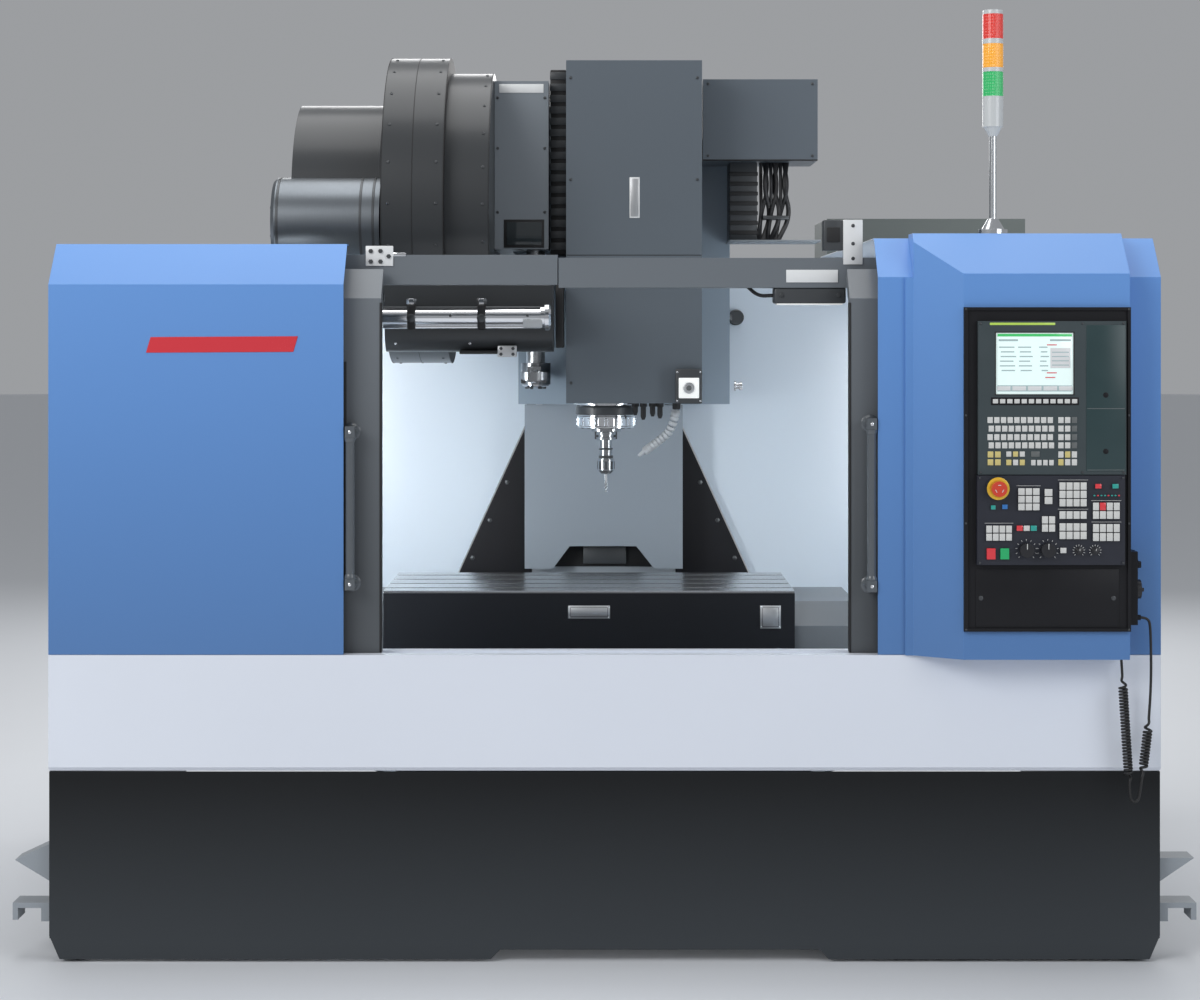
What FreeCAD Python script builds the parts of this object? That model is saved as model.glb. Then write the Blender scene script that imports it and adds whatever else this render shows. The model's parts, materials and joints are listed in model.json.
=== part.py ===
import FreeCAD, Part
import math
import os
import Sketcher

# A vertical machining centre. Millimetres, +Z up, X along the table, Y from the operator to the column.
# The origin is the middle of the machine's footprint, on the floor.
# A "depth" is a distance behind the front face of the covers.

DIMENSIONS = {
    # overall
    "front_plane": -1030, "half_width": 1457, "rear_reach": 2210, "sheet_gauge": 3,
    # bed, column and guide rails
    "pad_height": 90, "bed_half_width": 560, "bed_front": 230, "bed_rear": 1560, "bed_top": 520,
    "foot_half_width": 640, "foot_front": 1500, "foot_rear": 2130, "foot_top": 600,
    "rail_width": 45, "rail_height": 40, "rail_fit": 0.5, "bed_rail_offset": 300, "column_rail_offset": 200,
    "column_front": 1620, "column_rear": 2100, "column_top": 2390, "column_half_width": 254,
    "column_knee": 1347, "column_foot_half_width": 595,
    # axes at rest
    "spindle_x": 6, "spindle_depth": 998, "nose_height": 1353,
    # table and saddle
    "table_left": -644, "table_right": 556, "table_front": 728, "table_rear": 1268, "table_top": 898,
    "table_underside": 800, "slot_pitch": 125, "slot_width": 18, "slot_throat": 20, "slot_foot_width": 30,
    "slot_foot": 14, "saddle_bottom": 606, "saddle_top": 700, "saddle_half_length": 741,
    "saddle_front": 768, "saddle_rear": 1228, "table_rail_offset": 160,
    # head
    "cover_left": -112, "cover_right": 289, "cover_bottom": 1443, "cover_top": 2455, "cover_front": 798,
    "cover_rear": 1240, "carriage_left": -269, "carriage_right": 396, "carriage_bottom": 1427,
    "carriage_top": 2180, "carriage_front": 1275, "carriage_rear": 1550, "shield_half_width": 257,
    "shield_top": 1417, "shield_bottom": 884, "shield_depth": 1535, "nose_radius": 86,
    # enclosure
    "skirt_top": 500, "sill_height": 807, "left_chamfer": 1778, "left_top": 1887, "left_inner": -684,
    "right_chamfer": 1797, "right_top": 1902, "right_inner": 716, "roof_depth": 95, "wall_rear": 1650,
    "apron_depth": 130,
    "splash_half_width": 1200, "splash_top": 1880, "door_front": 50, "door_thickness": 32,
    "door_width": 740, "door_bottom": 795, "door_knee": 1742, "door_top": 1821, "opening_left": -590,
    "opening_right": 647, "lintel_front": 150, "lintel_rear": 230,
    # console
    "pod_left": 808, "pod_bend": 926, "pod_right": 1356, "pod_front": -92, "pod_knee": 1804, "pod_top": 1912,
    # magazine
    "drum_depth": 930, "drum_height": 2016, "drum_radius": 455, "arm_x": -207, "arm_reach": 213,
}


class Size:
    """A length with its value and the expression that gives it in the sheet."""

    def __init__(self, value, text):
        self.value = value
        self.text = text

    def __add__(self, other):
        other = size(other)
        return Size(self.value + other.value, f"({self.text} + {other.text})")

    def __sub__(self, other):
        other = size(other)
        return Size(self.value - other.value, f"({self.text} - {other.text})")

    def __mul__(self, factor):
        return Size(self.value * factor, f"({self.text} * {factor})")

    def __truediv__(self, factor):
        return Size(self.value / factor, f"({self.text} / {factor})")

    def __neg__(self):
        return Size(-self.value, f"(0 - {self.text})")

    __radd__ = __add__

    def __rsub__(self, other):
        return size(other) - self


def size(value):
    return value if isinstance(value, Size) else Size(value, f"({value:g})")


def cell(alias):
    return Size(DIMENSIONS[alias], f"Sheet.{alias}")


def depth(distance):
    """The Y of a place this far behind the front plane."""
    return cell("front_plane") + distance


doc = FreeCAD.newDocument("machining_centre")
sheet = doc.addObject("Spreadsheet::Sheet", "Sheet")
for row, (alias, number) in enumerate(DIMENSIONS.items(), start=1):
    sheet.set(f"A{row}", alias)
    sheet.set(f"B{row}", str(number))
    sheet.setAlias(f"B{row}", alias)
doc.recompute()

SUB_PARTS = []
ALONG = {
    "X": FreeCAD.Rotation(FreeCAD.Vector(0, 1, 0), 90),
    "Y": FreeCAD.Rotation(FreeCAD.Vector(1, 0, 0), -90),
    "Z": FreeCAD.Rotation(),
}


def bind(thing, prop, value):
    thing.setExpression(prop, size(value).text)


def place(thing, x, y, z, turn=None):
    thing.Placement = FreeCAD.Placement(
        FreeCAD.Vector(size(x).value, size(y).value, size(z).value), turn or FreeCAD.Rotation()
    )
    bind(thing, "Placement.Base.x", x)
    bind(thing, "Placement.Base.y", y)
    bind(thing, "Placement.Base.z", z)


def box(name, x, y, z):
    """A block between the lows and highs given for each axis."""
    block = doc.addObject("Part::Box", name)
    for prop, span in (("Length", x), ("Width", y), ("Height", z)):
        low, high = size(span[0]), size(span[1])
        setattr(block, prop, high.value - low.value)
        bind(block, prop, high - low)
    place(block, x[0], y[0], z[0])
    return block


def about(middle, half):
    """The two ends of a stretch centred on the middle."""
    return (middle - half, middle + half)


def rod(name, radius, length, x, y, z, along="Z"):
    """A cylinder from a point, along one axis."""
    cylinder = doc.addObject("Part::Cylinder", name)
    cylinder.Radius = size(radius).value
    cylinder.Height = size(length).value
    bind(cylinder, "Radius", radius)
    bind(cylinder, "Height", length)
    place(cylinder, x, y, z, ALONG[along])
    return cylinder


def cone(name, low_radius, high_radius, length, x, y, z, along="Z"):
    frustum = doc.addObject("Part::Cone", name)
    for prop, value in (("Radius1", low_radius), ("Radius2", high_radius), ("Height", length)):
        setattr(frustum, prop, size(value).value)
        bind(frustum, prop, value)
    place(frustum, x, y, z, ALONG[along])
    return frustum


def prism(name, plane, points, low, high):
    """A sketch of straight lines on one of the body's planes, padded from low to high across it.

    The points are X,Z on the XZ plane, Y,Z on YZ and X,Y on XY.
    """
    body = doc.addObject("PartDesign::Body", name)
    origin = next(item for item in body.Origin.OriginFeatures if item.Role == f"{plane}_Plane")
    sketch = body.newObject("Sketcher::SketchObject", f"{name}_outline")
    sketch.AttachmentSupport = (origin, [""])
    sketch.MapMode = "FlatFace"
    corners = [(size(across), size(up)) for across, up in points]
    spots = [FreeCAD.Vector(across.value, up.value, 0) for across, up in corners]
    count = len(spots)
    for index, spot in enumerate(spots):
        sketch.addGeometry(Part.LineSegment(spot, spots[(index + 1) % count]), False)
    for index, (across, up) in enumerate(corners):
        sketch.addConstraint(Sketcher.Constraint("Coincident", index, 2, (index + 1) % count, 1))
        for kind, value in (("DistanceX", across), ("DistanceY", up)):
            number = sketch.addConstraint(Sketcher.Constraint(kind, -1, 1, index, 1, value.value))
            sketch.setExpression(f"Constraints[{number}]", value.text)
    pad = body.newObject("PartDesign::Pad", f"{name}_pad")
    pad.Profile = sketch
    length = size(high) - low
    pad.Length = length.value
    bind(pad, "Length", length)
    start = {"XZ": (0, high, 0), "YZ": (low, 0, 0), "XY": (0, 0, low)}[plane]
    place(body, *start)
    return body


def fuse(name, shapes):
    joined = doc.addObject("Part::MultiFuse", name)
    joined.Shapes = shapes
    joined.Refine = True
    return joined


def cut(name, base, tool):
    result = doc.addObject("Part::Cut", name)
    result.Base = base
    result.Tool = tool if not isinstance(tool, list) else fuse(f"{name}_tools", tool)
    return result


def common(name, shapes):
    result = doc.addObject("Part::MultiCommon", name)
    result.Shapes = shapes
    return result


def group(name, shapes):
    """Several loose pieces of one kind, kept together."""
    compound = doc.addObject("Part::Compound", name)
    compound.Links = shapes
    return compound


def sub_part(label, thing):
    thing.Label = label
    SUB_PARTS.append((label, thing))
    return thing


def bent_sheet(points, thickness):
    """The outline of a folded sheet whose outer line is given, with its inner line mitred."""
    inner = []
    last = len(points) - 1
    for index, (across, up) in enumerate(points):
        before = points[max(index - 1, 0)]
        after = points[min(index + 1, last)]
        sides = []
        for start, end in (((before), (across, up)), ((across, up), (after))):
            run = math.hypot(end[0] - start[0], end[1] - start[1])
            if run:
                sides.append(((end[1] - start[1]) / run, -(end[0] - start[0]) / run))
        normal = (sum(side[0] for side in sides), sum(side[1] for side in sides))
        reach = sum(normal[axis] * sides[0][axis] for axis in (0, 1))
        inner.append((across + normal[0] * thickness / reach, up + normal[1] * thickness / reach))
    return list(points) + inner[::-1]


# ---------------------------------------------------------------- bed, column and rails


def base_casting():
    bed = box(
        "bed",
        (-cell("bed_half_width"), cell("bed_half_width")),
        (depth(cell("bed_front")), depth(cell("bed_rear"))),
        (cell("pad_height"), cell("bed_top")),
    )
    foot = box(
        "column_foot",
        (-cell("foot_half_width"), cell("foot_half_width")),
        (depth(cell("foot_front") + 60), depth(cell("foot_rear"))),
        (cell("pad_height"), cell("foot_top")),
    )
    seats = []
    for side in (-1, 1):
        middle = cell("bed_rail_offset") * side
        seats.append(
            box(
                f"rail_seat_{side + 1}",
                (middle - cell("rail_width"), middle + cell("rail_width")),
                (depth(540), depth(1460)),
                (cell("bed_top"), cell("bed_top") + 40),
            )
        )
    bearings = [
        box(f"screw_bearing_{near}", (-50, 50), (depth(near), depth(near + 40)), (cell("bed_top"), 605))
        for near in (450, 1470)
    ]
    bores = rod("screw_bore", 20.06, 1150, 0, depth(420), 572, "Y")
    casting = fuse("base_solid", [bed, foot] + seats + bearings)
    return sub_part("base_casting", cut("base_casting", casting, bores))


def leveling_pads():
    pads = []
    spots = [(480, 330, 45), (480, 1200, 45), (520, 2000, 45), (1405, 62, 32), (1405, 2050, 32)]
    for number, (across, back, radius) in enumerate(spots):
        height = cell("pad_height") if radius > 40 else size(62)
        for side in (-1, 1):
            name = f"pad_{number}_{side + 1}"
            plate = rod(f"{name}_plate", radius, 34, across * side, depth(back), 0)
            stem = rod(f"{name}_stem", 14, height, across * side, depth(back), 0)
            pads.append(fuse(name, [plate, stem]))
    return sub_part("leveling_pads", group("leveling_pads", pads))


def column():
    half, foot, knee = cell("column_half_width"), cell("column_foot_half_width"), cell("column_knee")
    top, bottom = cell("column_top"), cell("foot_top")
    outline = [(-foot, bottom), (foot, bottom), (half, knee), (half, top), (-half, top), (-half, knee)]
    tower = prism("tower", "XZ", outline, depth(cell("column_front")), depth(cell("column_rear")))
    behind, ahead = depth(cell("column_rear") + 5), depth(cell("column_front") - 5)
    pocket = box("tower_pocket", about(0, 148), (depth(1720), behind), (720, top - 120))
    groove = box("screw_groove", about(0, 60), (ahead, depth(1680)), (900, top - 60))
    return sub_part("column", cut("column", tower, [pocket, groove]))


def guide_rails():
    rails = []
    for side in (-1, 1):
        middle = cell("bed_rail_offset") * side
        rails.append(
            box(
                f"bed_rail_{side + 1}",
                (middle - cell("rail_width") / 2, middle + cell("rail_width") / 2),
                (depth(560), depth(1440)),
                (cell("bed_top") + 40, cell("bed_top") + 40 + cell("rail_height")),
            )
        )
        middle = cell("column_rail_offset") * side
        rails.append(
            box(
                f"column_rail_{side + 1}",
                (middle - cell("rail_width") / 2, middle + cell("rail_width") / 2),
                (depth(cell("column_front") - cell("rail_height")), depth(cell("column_front"))),
                (1160, cell("column_top") - 10),
            )
        )
    return sub_part("guide_rails", group("guide_rails", rails))


def leg_covers():
    covers = []
    for side in (-1, 1):
        outline = [
            (size(236) * side, cell("foot_top")),
            (cell("column_foot_half_width") * side, cell("foot_top")),
            (cell("column_half_width") * side, cell("column_knee")),
            (size(236) * side, cell("column_knee")),
        ]
        covers.append(
            prism(f"leg_cover_{side + 1}", "XZ", outline, depth(cell("column_front") - 5), depth(1619.7))
        )
    return sub_part("leg_covers", group("leg_covers", covers))


def ballscrews():
    sub_part("y_ballscrew", rod("y_ballscrew", 20, 1110, 0, depth(440), 572, "Y"))
    sub_part("x_ballscrew", rod("x_ballscrew", 16, 1460, -730, depth(cell("spindle_depth")), 745, "X"))
    sub_part("z_ballscrew", rod("z_ballscrew", 20, 1230, 0, depth(1640), 1090, "Z"))


# ---------------------------------------------------------------- saddle and table


def saddle():
    half = cell("saddle_half_length")
    front, rear = depth(cell("saddle_front")), depth(cell("saddle_rear"))
    slab = box("saddle_slab", (-half, half), (front, rear), (cell("saddle_bottom"), cell("saddle_top")))
    shoes, slots = [], []
    for side in (-1, 1):
        middle = cell("bed_rail_offset") * side
        shoes.append(box(f"bed_shoe_{side + 1}", (middle - 60, middle + 60), (front, rear), (570, 606)))
        slots.append(
            box(
                f"bed_slot_{side + 1}",
                about(middle, cell("rail_width") / 2 + cell("rail_fit")),
                (front - 5, rear + 5),
                (560, cell("bed_top") + 40 + cell("rail_height") + cell("rail_fit")),
            )
        )
    middle = depth(cell("spindle_depth"))
    ends = [
        box(f"screw_end_{number}", (low, low + 28), (middle - 40, middle + 40), (cell("saddle_top"), 775))
        for number, low in enumerate((-half + 12, half - 40))
    ]
    bore = rod("table_screw_bore", 16.06, 1500, -750, middle, 745, "X")
    solid = fuse("saddle_solid", [slab] + shoes + ends)
    return sub_part("saddle", cut("saddle", solid, slots + [bore]))


def table_rails():
    rails = []
    for side in (-1, 1):
        middle = depth(cell("spindle_depth")) + cell("table_rail_offset") * side
        rails.append(
            box(
                f"table_rail_{side + 1}",
                (-cell("saddle_half_length") + 4, cell("saddle_half_length") - 4),
                (middle - cell("rail_width") / 2, middle + cell("rail_width") / 2),
                (cell("saddle_top"), cell("saddle_top") + cell("rail_height")),
            )
        )
    return sub_part("table_rails", group("table_rails", rails))


def servo_motors():
    bed, column_head = cell("bed_top"), cell("column_top")
    motors = [
        box("y_servo", about(0, 60), (depth(290), depth(439.5)), (bed, bed + 120)),
        box("z_servo", about(0, 60), (depth(1625), depth(1745)), (column_head, column_head + 110)),
    ]
    return sub_part("servo_motors", group("servo_motors", motors))


def table():
    left, right = cell("table_left"), cell("table_right")
    front, rear = depth(cell("table_front")), depth(cell("table_rear"))
    middle = depth(cell("spindle_depth"))
    slab = box("table_slab", (left, right), (front, rear), (cell("table_underside"), cell("table_top")))
    shoes, slots = [], []
    for side in (-1, 1):
        line = middle + cell("table_rail_offset") * side
        shoes.append(box(f"table_shoe_{side + 1}", (left + 250, right - 250), about(line, 55), (712, 800)))
        slots.append(
            box(
                f"table_way_{side + 1}",
                (left + 240, right - 240),
                about(line, cell("rail_width") / 2 + cell("rail_fit")),
                (700, cell("saddle_top") + cell("rail_height") + cell("rail_fit")),
            )
        )
    for number in range(4):
        line = middle + cell("slot_pitch") * (number - 1.5)
        top = cell("table_top")
        throat = top - cell("slot_throat")
        neck, foot = about(line, cell("slot_width") / 2), about(line, cell("slot_foot_width") / 2)
        run = (left - 5, right + 5)
        slots.append(box(f"slot_throat_{number}", run, neck, (throat, top + 5)))
        slots.append(box(f"slot_foot_{number}", run, foot, (throat - cell("slot_foot"), throat)))
    solid = fuse("table_solid", [slab] + shoes)
    return sub_part("table", cut("table", solid, slots))


def table_apron():
    front = depth(cell("table_front"))
    run = (cell("table_left"), cell("table_right"))
    return sub_part("table_apron", box("table_apron", run, (front - 12, front), (640, cell("table_top") - 6)))


def table_end_covers():
    base = DIMENSIONS["front_plane"]
    line = [(735, 704), (735, 795), (800, 860), (1196, 860), (1261, 795), (1261, 704)]
    outline = bent_sheet([(back + base, up) for back, up in line], 3)
    right = prism("end_cover_right", "YZ", outline, cell("table_right"), cell("table_right") + 184)
    left = prism("end_cover_left", "YZ", outline, cell("table_left") - 184, cell("table_left"))
    return sub_part("table_end_covers", group("table_end_covers", [left, right]))


# ---------------------------------------------------------------- head, spindle and tool


def head_casting():
    axis = (cell("spindle_x"), depth(cell("spindle_depth")))
    nearest, furthest = depth(cell("cover_front") + 34), depth(cell("carriage_front"))
    front = box("head_front", (-82, 258), (nearest, furthest), (1452, 2150))
    carriage = box(
        "carriage",
        (cell("carriage_left"), cell("carriage_right")),
        (depth(cell("carriage_front")), depth(cell("carriage_rear"))),
        (cell("carriage_bottom"), cell("carriage_top")),
    )
    shoes, slots = [], []
    for side in (-1, 1):
        middle = cell("column_rail_offset") * side
        for number, low in enumerate((1440, 2040)):
            shoes.append(
                box(
                    f"column_shoe_{side + 1}_{number}",
                    (middle - 55, middle + 55),
                    (depth(cell("carriage_rear")), depth(1611)),
                    (low, low + 125),
                )
            )
        slots.append(
            box(
                f"column_way_{side + 1}",
                about(middle, cell("rail_width") / 2 + cell("rail_fit")),
                (depth(cell("column_front") - cell("rail_height") - cell("rail_fit")), depth(1630)),
                (1400, 2200),
            )
        )
    bore = rod("spindle_bore", 46, 620, axis[0], axis[1], 1440)
    solid = fuse("head_solid", [front, carriage] + shoes)
    return sub_part("head_casting", cut("head_casting", solid, slots + [bore]))


def head_cover():
    gauge = cell("sheet_gauge")
    left, right = cell("cover_left"), cell("cover_right")
    front, rear = depth(cell("cover_front")), depth(cell("cover_rear"))
    bottom, top = cell("cover_bottom"), cell("cover_top")
    outside = box("cover_outside", (left, right), (front, rear), (bottom, top))
    room = (front + gauge, rear + 5)
    inside = box("cover_inside", (left + gauge, right - gauge), room, (bottom - 43, top - gauge))
    return sub_part("head_cover", cut("head_cover", outside, inside))


def head_side_box():
    motor = box("spindle_drive_box", (300, 648), (depth(1000), depth(1270)), (2174, 2420))
    bracket = box("drive_box_bracket", (290, 390), (depth(1276), depth(1500)), (2182, 2260))
    neck = box("drive_box_neck", (300, 390), (depth(1262), depth(1300)), (2182, 2260))
    return sub_part("head_side_box", fuse("head_side_box", [motor, bracket, neck]))


def column_shield():
    half = cell("shield_half_width")
    low, high = cell("shield_bottom"), cell("shield_top")
    outline = [
        (-half, low), (-165, low), (-111, low + 73), (106, low + 73),
        (164, low), (half, low), (half, high), (-half, high),
    ]
    front = depth(cell("shield_depth"))
    plate = prism("shield_plate", "XZ", outline, front, front + 5)
    hanger = box("shield_hanger", about(0, 200), (front, front + 14), (high - 2, cell("carriage_bottom")))
    return sub_part("column_shield", fuse("column_shield", [plate, hanger]))


def spindle_housing():
    axis = (cell("spindle_x"), depth(cell("spindle_depth")))
    nose = cell("nose_height")
    flange = rod("housing_flange", cell("nose_radius") + 14, 16, *axis, 1436)
    barrel = rod("housing_barrel", cell("nose_radius"), 76, *axis, nose + 12)
    bore = rod("housing_bore", 45.1, 200, *axis, 1340)
    solid = fuse("housing_solid", [flange, barrel])
    return sub_part("spindle_housing", cut("spindle_housing", solid, bore))


def spindle_shaft():
    axis = (cell("spindle_x"), depth(cell("spindle_depth")))
    nose = cell("nose_height")
    face = rod("spindle_face", 50, 11, *axis, nose)
    shaft = rod("spindle_stem", 45, 680, *axis, nose)
    taper = cone("spindle_taper", 22.3, 12.6, 66, *axis, nose)
    drawbar = rod("drawbar_bore", 12.7, 120, *axis, nose + 60)
    solid = fuse("spindle_solid", [face, shaft])
    return sub_part("spindle_shaft", cut("spindle_shaft", solid, [taper, drawbar]))


def tool_holder():
    axis = (cell("spindle_x"), depth(cell("spindle_depth")))
    nose = cell("nose_height")
    parts = [
        cone("holder_taper", 22.1, 12.4, 65, *axis, nose - 1),
        rod("holder_flange_upper", 31.5, 9, *axis, nose - 11),
        rod("holder_groove", 26.5, 8, *axis, nose - 18),
        rod("holder_flange_lower", 31.5, 8, *axis, nose - 25),
        rod("holder_neck", 20, 60, *axis, nose - 84),
        rod("collet_nut", 25, 34, *axis, nose - 118),
        cone("nut_nose", 15, 24, 10, *axis, nose - 128),
        rod("cutter_shank", 6, 30, *axis, nose - 157),
        cone("cutter_tip", 1.5, 5.9, 30, *axis, nose - 185),
        rod("pull_stud", 8, 26, *axis, nose + 60),
        rod("holder_shoulder", 22.1, 4, *axis, nose - 4),
    ]
    return sub_part("tool_holder", fuse("tool_holder", parts))


# ---------------------------------------------------------------- enclosure


def front_skirt():
    half, top = cell("half_width"), cell("skirt_top")
    outline = [
        (-half, 70), (-1430, 8), (-298, 8), (-274, 33), (564, 33),
        (588, 8), (1430, 8), (half, 70), (half, top), (-half, top),
    ]
    return sub_part("front_skirt", prism("front_skirt", "XZ", outline, depth(10), depth(13)))


def side_skirts():
    half, top = DIMENSIONS["half_width"], DIMENSIONS["skirt_top"]
    skirts = []
    for side in (-1, 1):
        outline = bent_sheet([(side * 1360, 62), (side * half, 62), (side * half, top)], -3 * side)
        skirts.append(prism(f"side_skirt_{side + 1}", "XZ", outline, depth(13), depth(2100)))
    return sub_part("side_skirts", group("side_skirts", skirts))


def side_brackets():
    pieces = []
    wall = DIMENSIONS["half_width"]
    hook = [
        (wall, 149), (1560, 149), (1560, 104), (1546, 104),
        (1546, 135), (1485, 135), (1485, 100), (wall, 100),
    ]
    wedges = {-1: [(wall, 203), (1554, 262), (wall, 307)], 1: [(wall, 201), (1554, 267), (wall, 267)]}
    for side, wedge in wedges.items():
        outline = [(across * side, up) for across, up in hook]
        pieces.append(prism(f"lifting_hook_{side + 1}", "XZ", outline, depth(40), depth(120)))
        outline = [(across * side, up) for across, up in wedge]
        pieces.append(prism(f"side_wedge_{side + 1}", "XZ", outline, depth(40), depth(120)))
    return sub_part("side_brackets", group("side_brackets", pieces))


def apron_band():
    """The folded sheet under the doors: a soft lower edge, the doors' channel in its top, and closed ends."""
    base, sill, back = DIMENSIONS["front_plane"], DIMENSIONS["sill_height"], DIMENSIONS["apron_depth"]
    channel = sill - 21
    line = [
        (30, 503), (8, 503), (0, 513), (0, sill), (42, sill), (42, channel), (96, channel), (96, sill),
        (back, sill), (back, 600),
    ]
    outline = bent_sheet([(far + base, up) for far, up in line], 3)
    folded = prism("apron_sheet", "YZ", outline, -cell("half_width"), cell("half_width"))
    ends = []
    for side in (-1, 1):
        x = (cell("half_width") * side, cell("half_width") * side - 3 * side)
        end_line = [(2, 512), (10, 504), (back - 1, 504), (back - 1, sill - 1), (2, sill - 1)]
        face = [(far + base, up) for far, up in end_line]
        low, high = sorted(x, key=lambda edge: edge.value)
        ends.append(prism(f"apron_end_{side + 1}", "YZ", face, low, high))
    return sub_part("apron_band", fuse("apron_band", [folded] + ends))


def front_cover(name, inner, outer, knee, top):
    """A folded sheet from the sill up, with its sloped top and a lip on the roof."""
    base = DIMENSIONS["front_plane"]
    line = [(0, DIMENSIONS["sill_height"] + 1), (0, knee), (DIMENSIONS["roof_depth"], top), (140, top)]
    outline = bent_sheet([(back + base, up) for back, up in line], DIMENSIONS["sheet_gauge"])
    return sub_part(name, prism(name, "YZ", outline, inner, outer))


def side_panel(name, side, knee, top, roof_edge):
    """An outer side wall folded over into the roof, cut back behind the apron and the sloped front."""
    half, sill, lip = DIMENSIONS["half_width"], DIMENSIONS["sill_height"] + 2, DIMENSIONS["apron_depth"] + 1
    outline = bent_sheet([(side * half, 503), (side * half, top), (roof_edge, top)], -3 * side)
    folded = prism(f"{name}_sheet", "XZ", outline, depth(3.5), depth(cell("wall_rear")))
    roof, slack = DIMENSIONS["roof_depth"] + 3, 6
    line = [
        (0, 490), (lip, 490), (lip, sill), (3, sill), (3, knee - slack), (roof, top - slack),
        (145, top - slack), (145, top + 20), (0, top + 20),
    ]
    base = DIMENSIONS["front_plane"]
    room = prism(f"{name}_room", "YZ", [(back + base, up) for back, up in line], -1500, 1500)
    return sub_part(name, cut(name, folded, room))


def splash_walls():
    half, top, rear = cell("splash_half_width"), cell("splash_top"), cell("wall_rear")
    walls = []
    for side in (-1, 1):
        x = sorted((half * side, half * side - 3 * side), key=lambda edge: edge.value)
        walls.append(box(f"side_wall_{side + 1}", x, (depth(146), depth(rear) - 4), (600, top)))
        outline = [
            (half * side, 600),
            ((cell("column_foot_half_width") + 4) * side, 600),
            ((cell("column_half_width") + 4) * side, cell("column_knee") + 3),
            ((cell("column_half_width") + 4) * side, top),
            (half * side, top),
        ]
        walls.append(prism(f"rear_wall_{side + 1}", "XZ", outline, depth(rear) - 3, depth(rear)))
        floor = bent_sheet([(side * 1200, 596), (side * 564, 470), (side * 564, 440)], 4 * side)
        walls.append(prism(f"floor_tray_{side + 1}", "XZ", floor, depth(132), depth(1540)))
    return sub_part("splash_walls", group("splash_walls", walls))


def door_lintels():
    y = (depth(cell("lintel_front")), depth(cell("lintel_rear")))
    left = box("lintel_left", (-1196, -126), y, (1780, 1860))
    right = box("lintel_right", (-123, 1196), y, (1772, 1852))
    return sub_part("door_lintels", group("door_lintels", [left, right]))


def door(name, left):
    """A sliding leaf with its top folded back like the covers."""
    base = DIMENSIONS["front_plane"]
    front, knee = DIMENSIONS["door_front"] + base, DIMENSIONS["door_knee"]
    line = [(front, DIMENSIONS["door_bottom"]), (front, knee), (front + 69, DIMENSIONS["door_top"])]
    outline = bent_sheet(line, DIMENSIONS["door_thickness"])
    return sub_part(name, prism(name, "YZ", outline, left, left + cell("door_width")))


def door_handle(name, x, low, high):
    bar = rod(f"{name}_bar", 12, high - low - 20, x, depth(6), low + 10)
    reach = (depth(-7), depth(cell("door_front")))
    ends = []
    for number, bottom in enumerate((low, high - 30)):
        ends.append(box(f"{name}_end_{number}", about(x, 13), reach, (bottom, bottom + 30)))
    return sub_part(name, fuse(name, [bar] + ends))


def electrical_cabinet():
    outside = box("cabinet_outside", (742, 1400), (depth(1700), depth(2140)), (300, 2030))
    inside = box("cabinet_inside", (745, 1397), (depth(1703), depth(2145)), (303, 2027))
    plate = box("mounting_plate", (800, 1340), (depth(1730), depth(1733)), (380, 1950))
    standing = (depth(1702), depth(1731)), (400, 1930)
    posts = [box(f"plate_post_{x}", (x, x + 20), *standing) for x in (820, 1300)]
    shell = cut("cabinet_shell", outside, inside)
    return sub_part("electrical_cabinet", fuse("electrical_cabinet", [shell, plate] + posts))


def cabinet_door():
    leaf = box("cabinet_leaf", (742, 1400), (depth(2141), depth(2163)), (300, 2030))
    grip = box("cabinet_grip", (780, 800), (depth(2196), depth(cell("rear_reach"))), (1080, 1260))
    stubs = []
    for low in (1080, 1240):
        stubs.append(box(f"grip_stub_{low}", (780, 800), (depth(2160), depth(2200)), (low, low + 20)))
    return sub_part("cabinet_door", fuse("cabinet_door", [leaf, grip] + stubs))


# ---------------------------------------------------------------- console


def pod_volume(name, inset):
    """The console's outer shape or, with an inset, the space inside its sheet, open at the back."""
    base = DIMENSIONS["front_plane"]
    front, bottom = DIMENSIONS["pod_front"] + inset, DIMENSIONS["sill_height"] + inset
    left, bend = DIMENSIONS["pod_left"] + inset, DIMENSIONS["pod_bend"] + inset
    right = DIMENSIONS["pod_right"] - inset
    knee, top = DIMENSIONS["pod_knee"] - inset / 2, DIMENSIONS["pod_top"] - inset
    back = 2 * inset
    plan = [(left, 97 + back), (left, -8 + inset), (bend, front), (right, front), (right, 97 + back)]
    across = prism(f"{name}_plan", "XY", [(x, y + base) for x, y in plan], bottom, top)
    outline = [
        (front, bottom), (front, knee), (15 + inset / 2, top), (97 + back, top), (95 + back, 1904),
        (back, 1798.4), (back, bottom),
    ]
    beside = prism(f"{name}_side", "YZ", [(y + base, z) for y, z in outline], 780, 1360)
    return common(name, [across, beside])


def console_pod():
    shell = cut("pod_shell", pod_volume("pod_outside", 0), pod_volume("pod_inside", 3))
    flange = box("pod_flange", (787, 810), (depth(-8), depth(0)), (cell("sill_height"), 1796))
    return sub_part("console_pod", fuse("console_pod", [shell, flange]))


def console_bezel():
    plate = box("bezel_plate", (926, 1356), (depth(-98), depth(-92)), (881, 1717))
    rim = box("bezel_rim", (926, 1356), (depth(-104), depth(-98)), (881, 1717))
    window = box("bezel_window", (936, 1348), (depth(-110), depth(-98)), (889, 1709))
    return sub_part("console_bezel", fuse("console_bezel", [plate, cut("bezel_frame", rim, window)]))


def display_unit():
    body = box("display_body", (961, 1342), (depth(-112), depth(-98)), (1286, 1681))
    recess = box("screen_recess", (1005, 1208), (depth(-120), depth(-108)), (1492, 1652))
    return sub_part("display_unit", cut("display_unit", body, recess))


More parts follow.
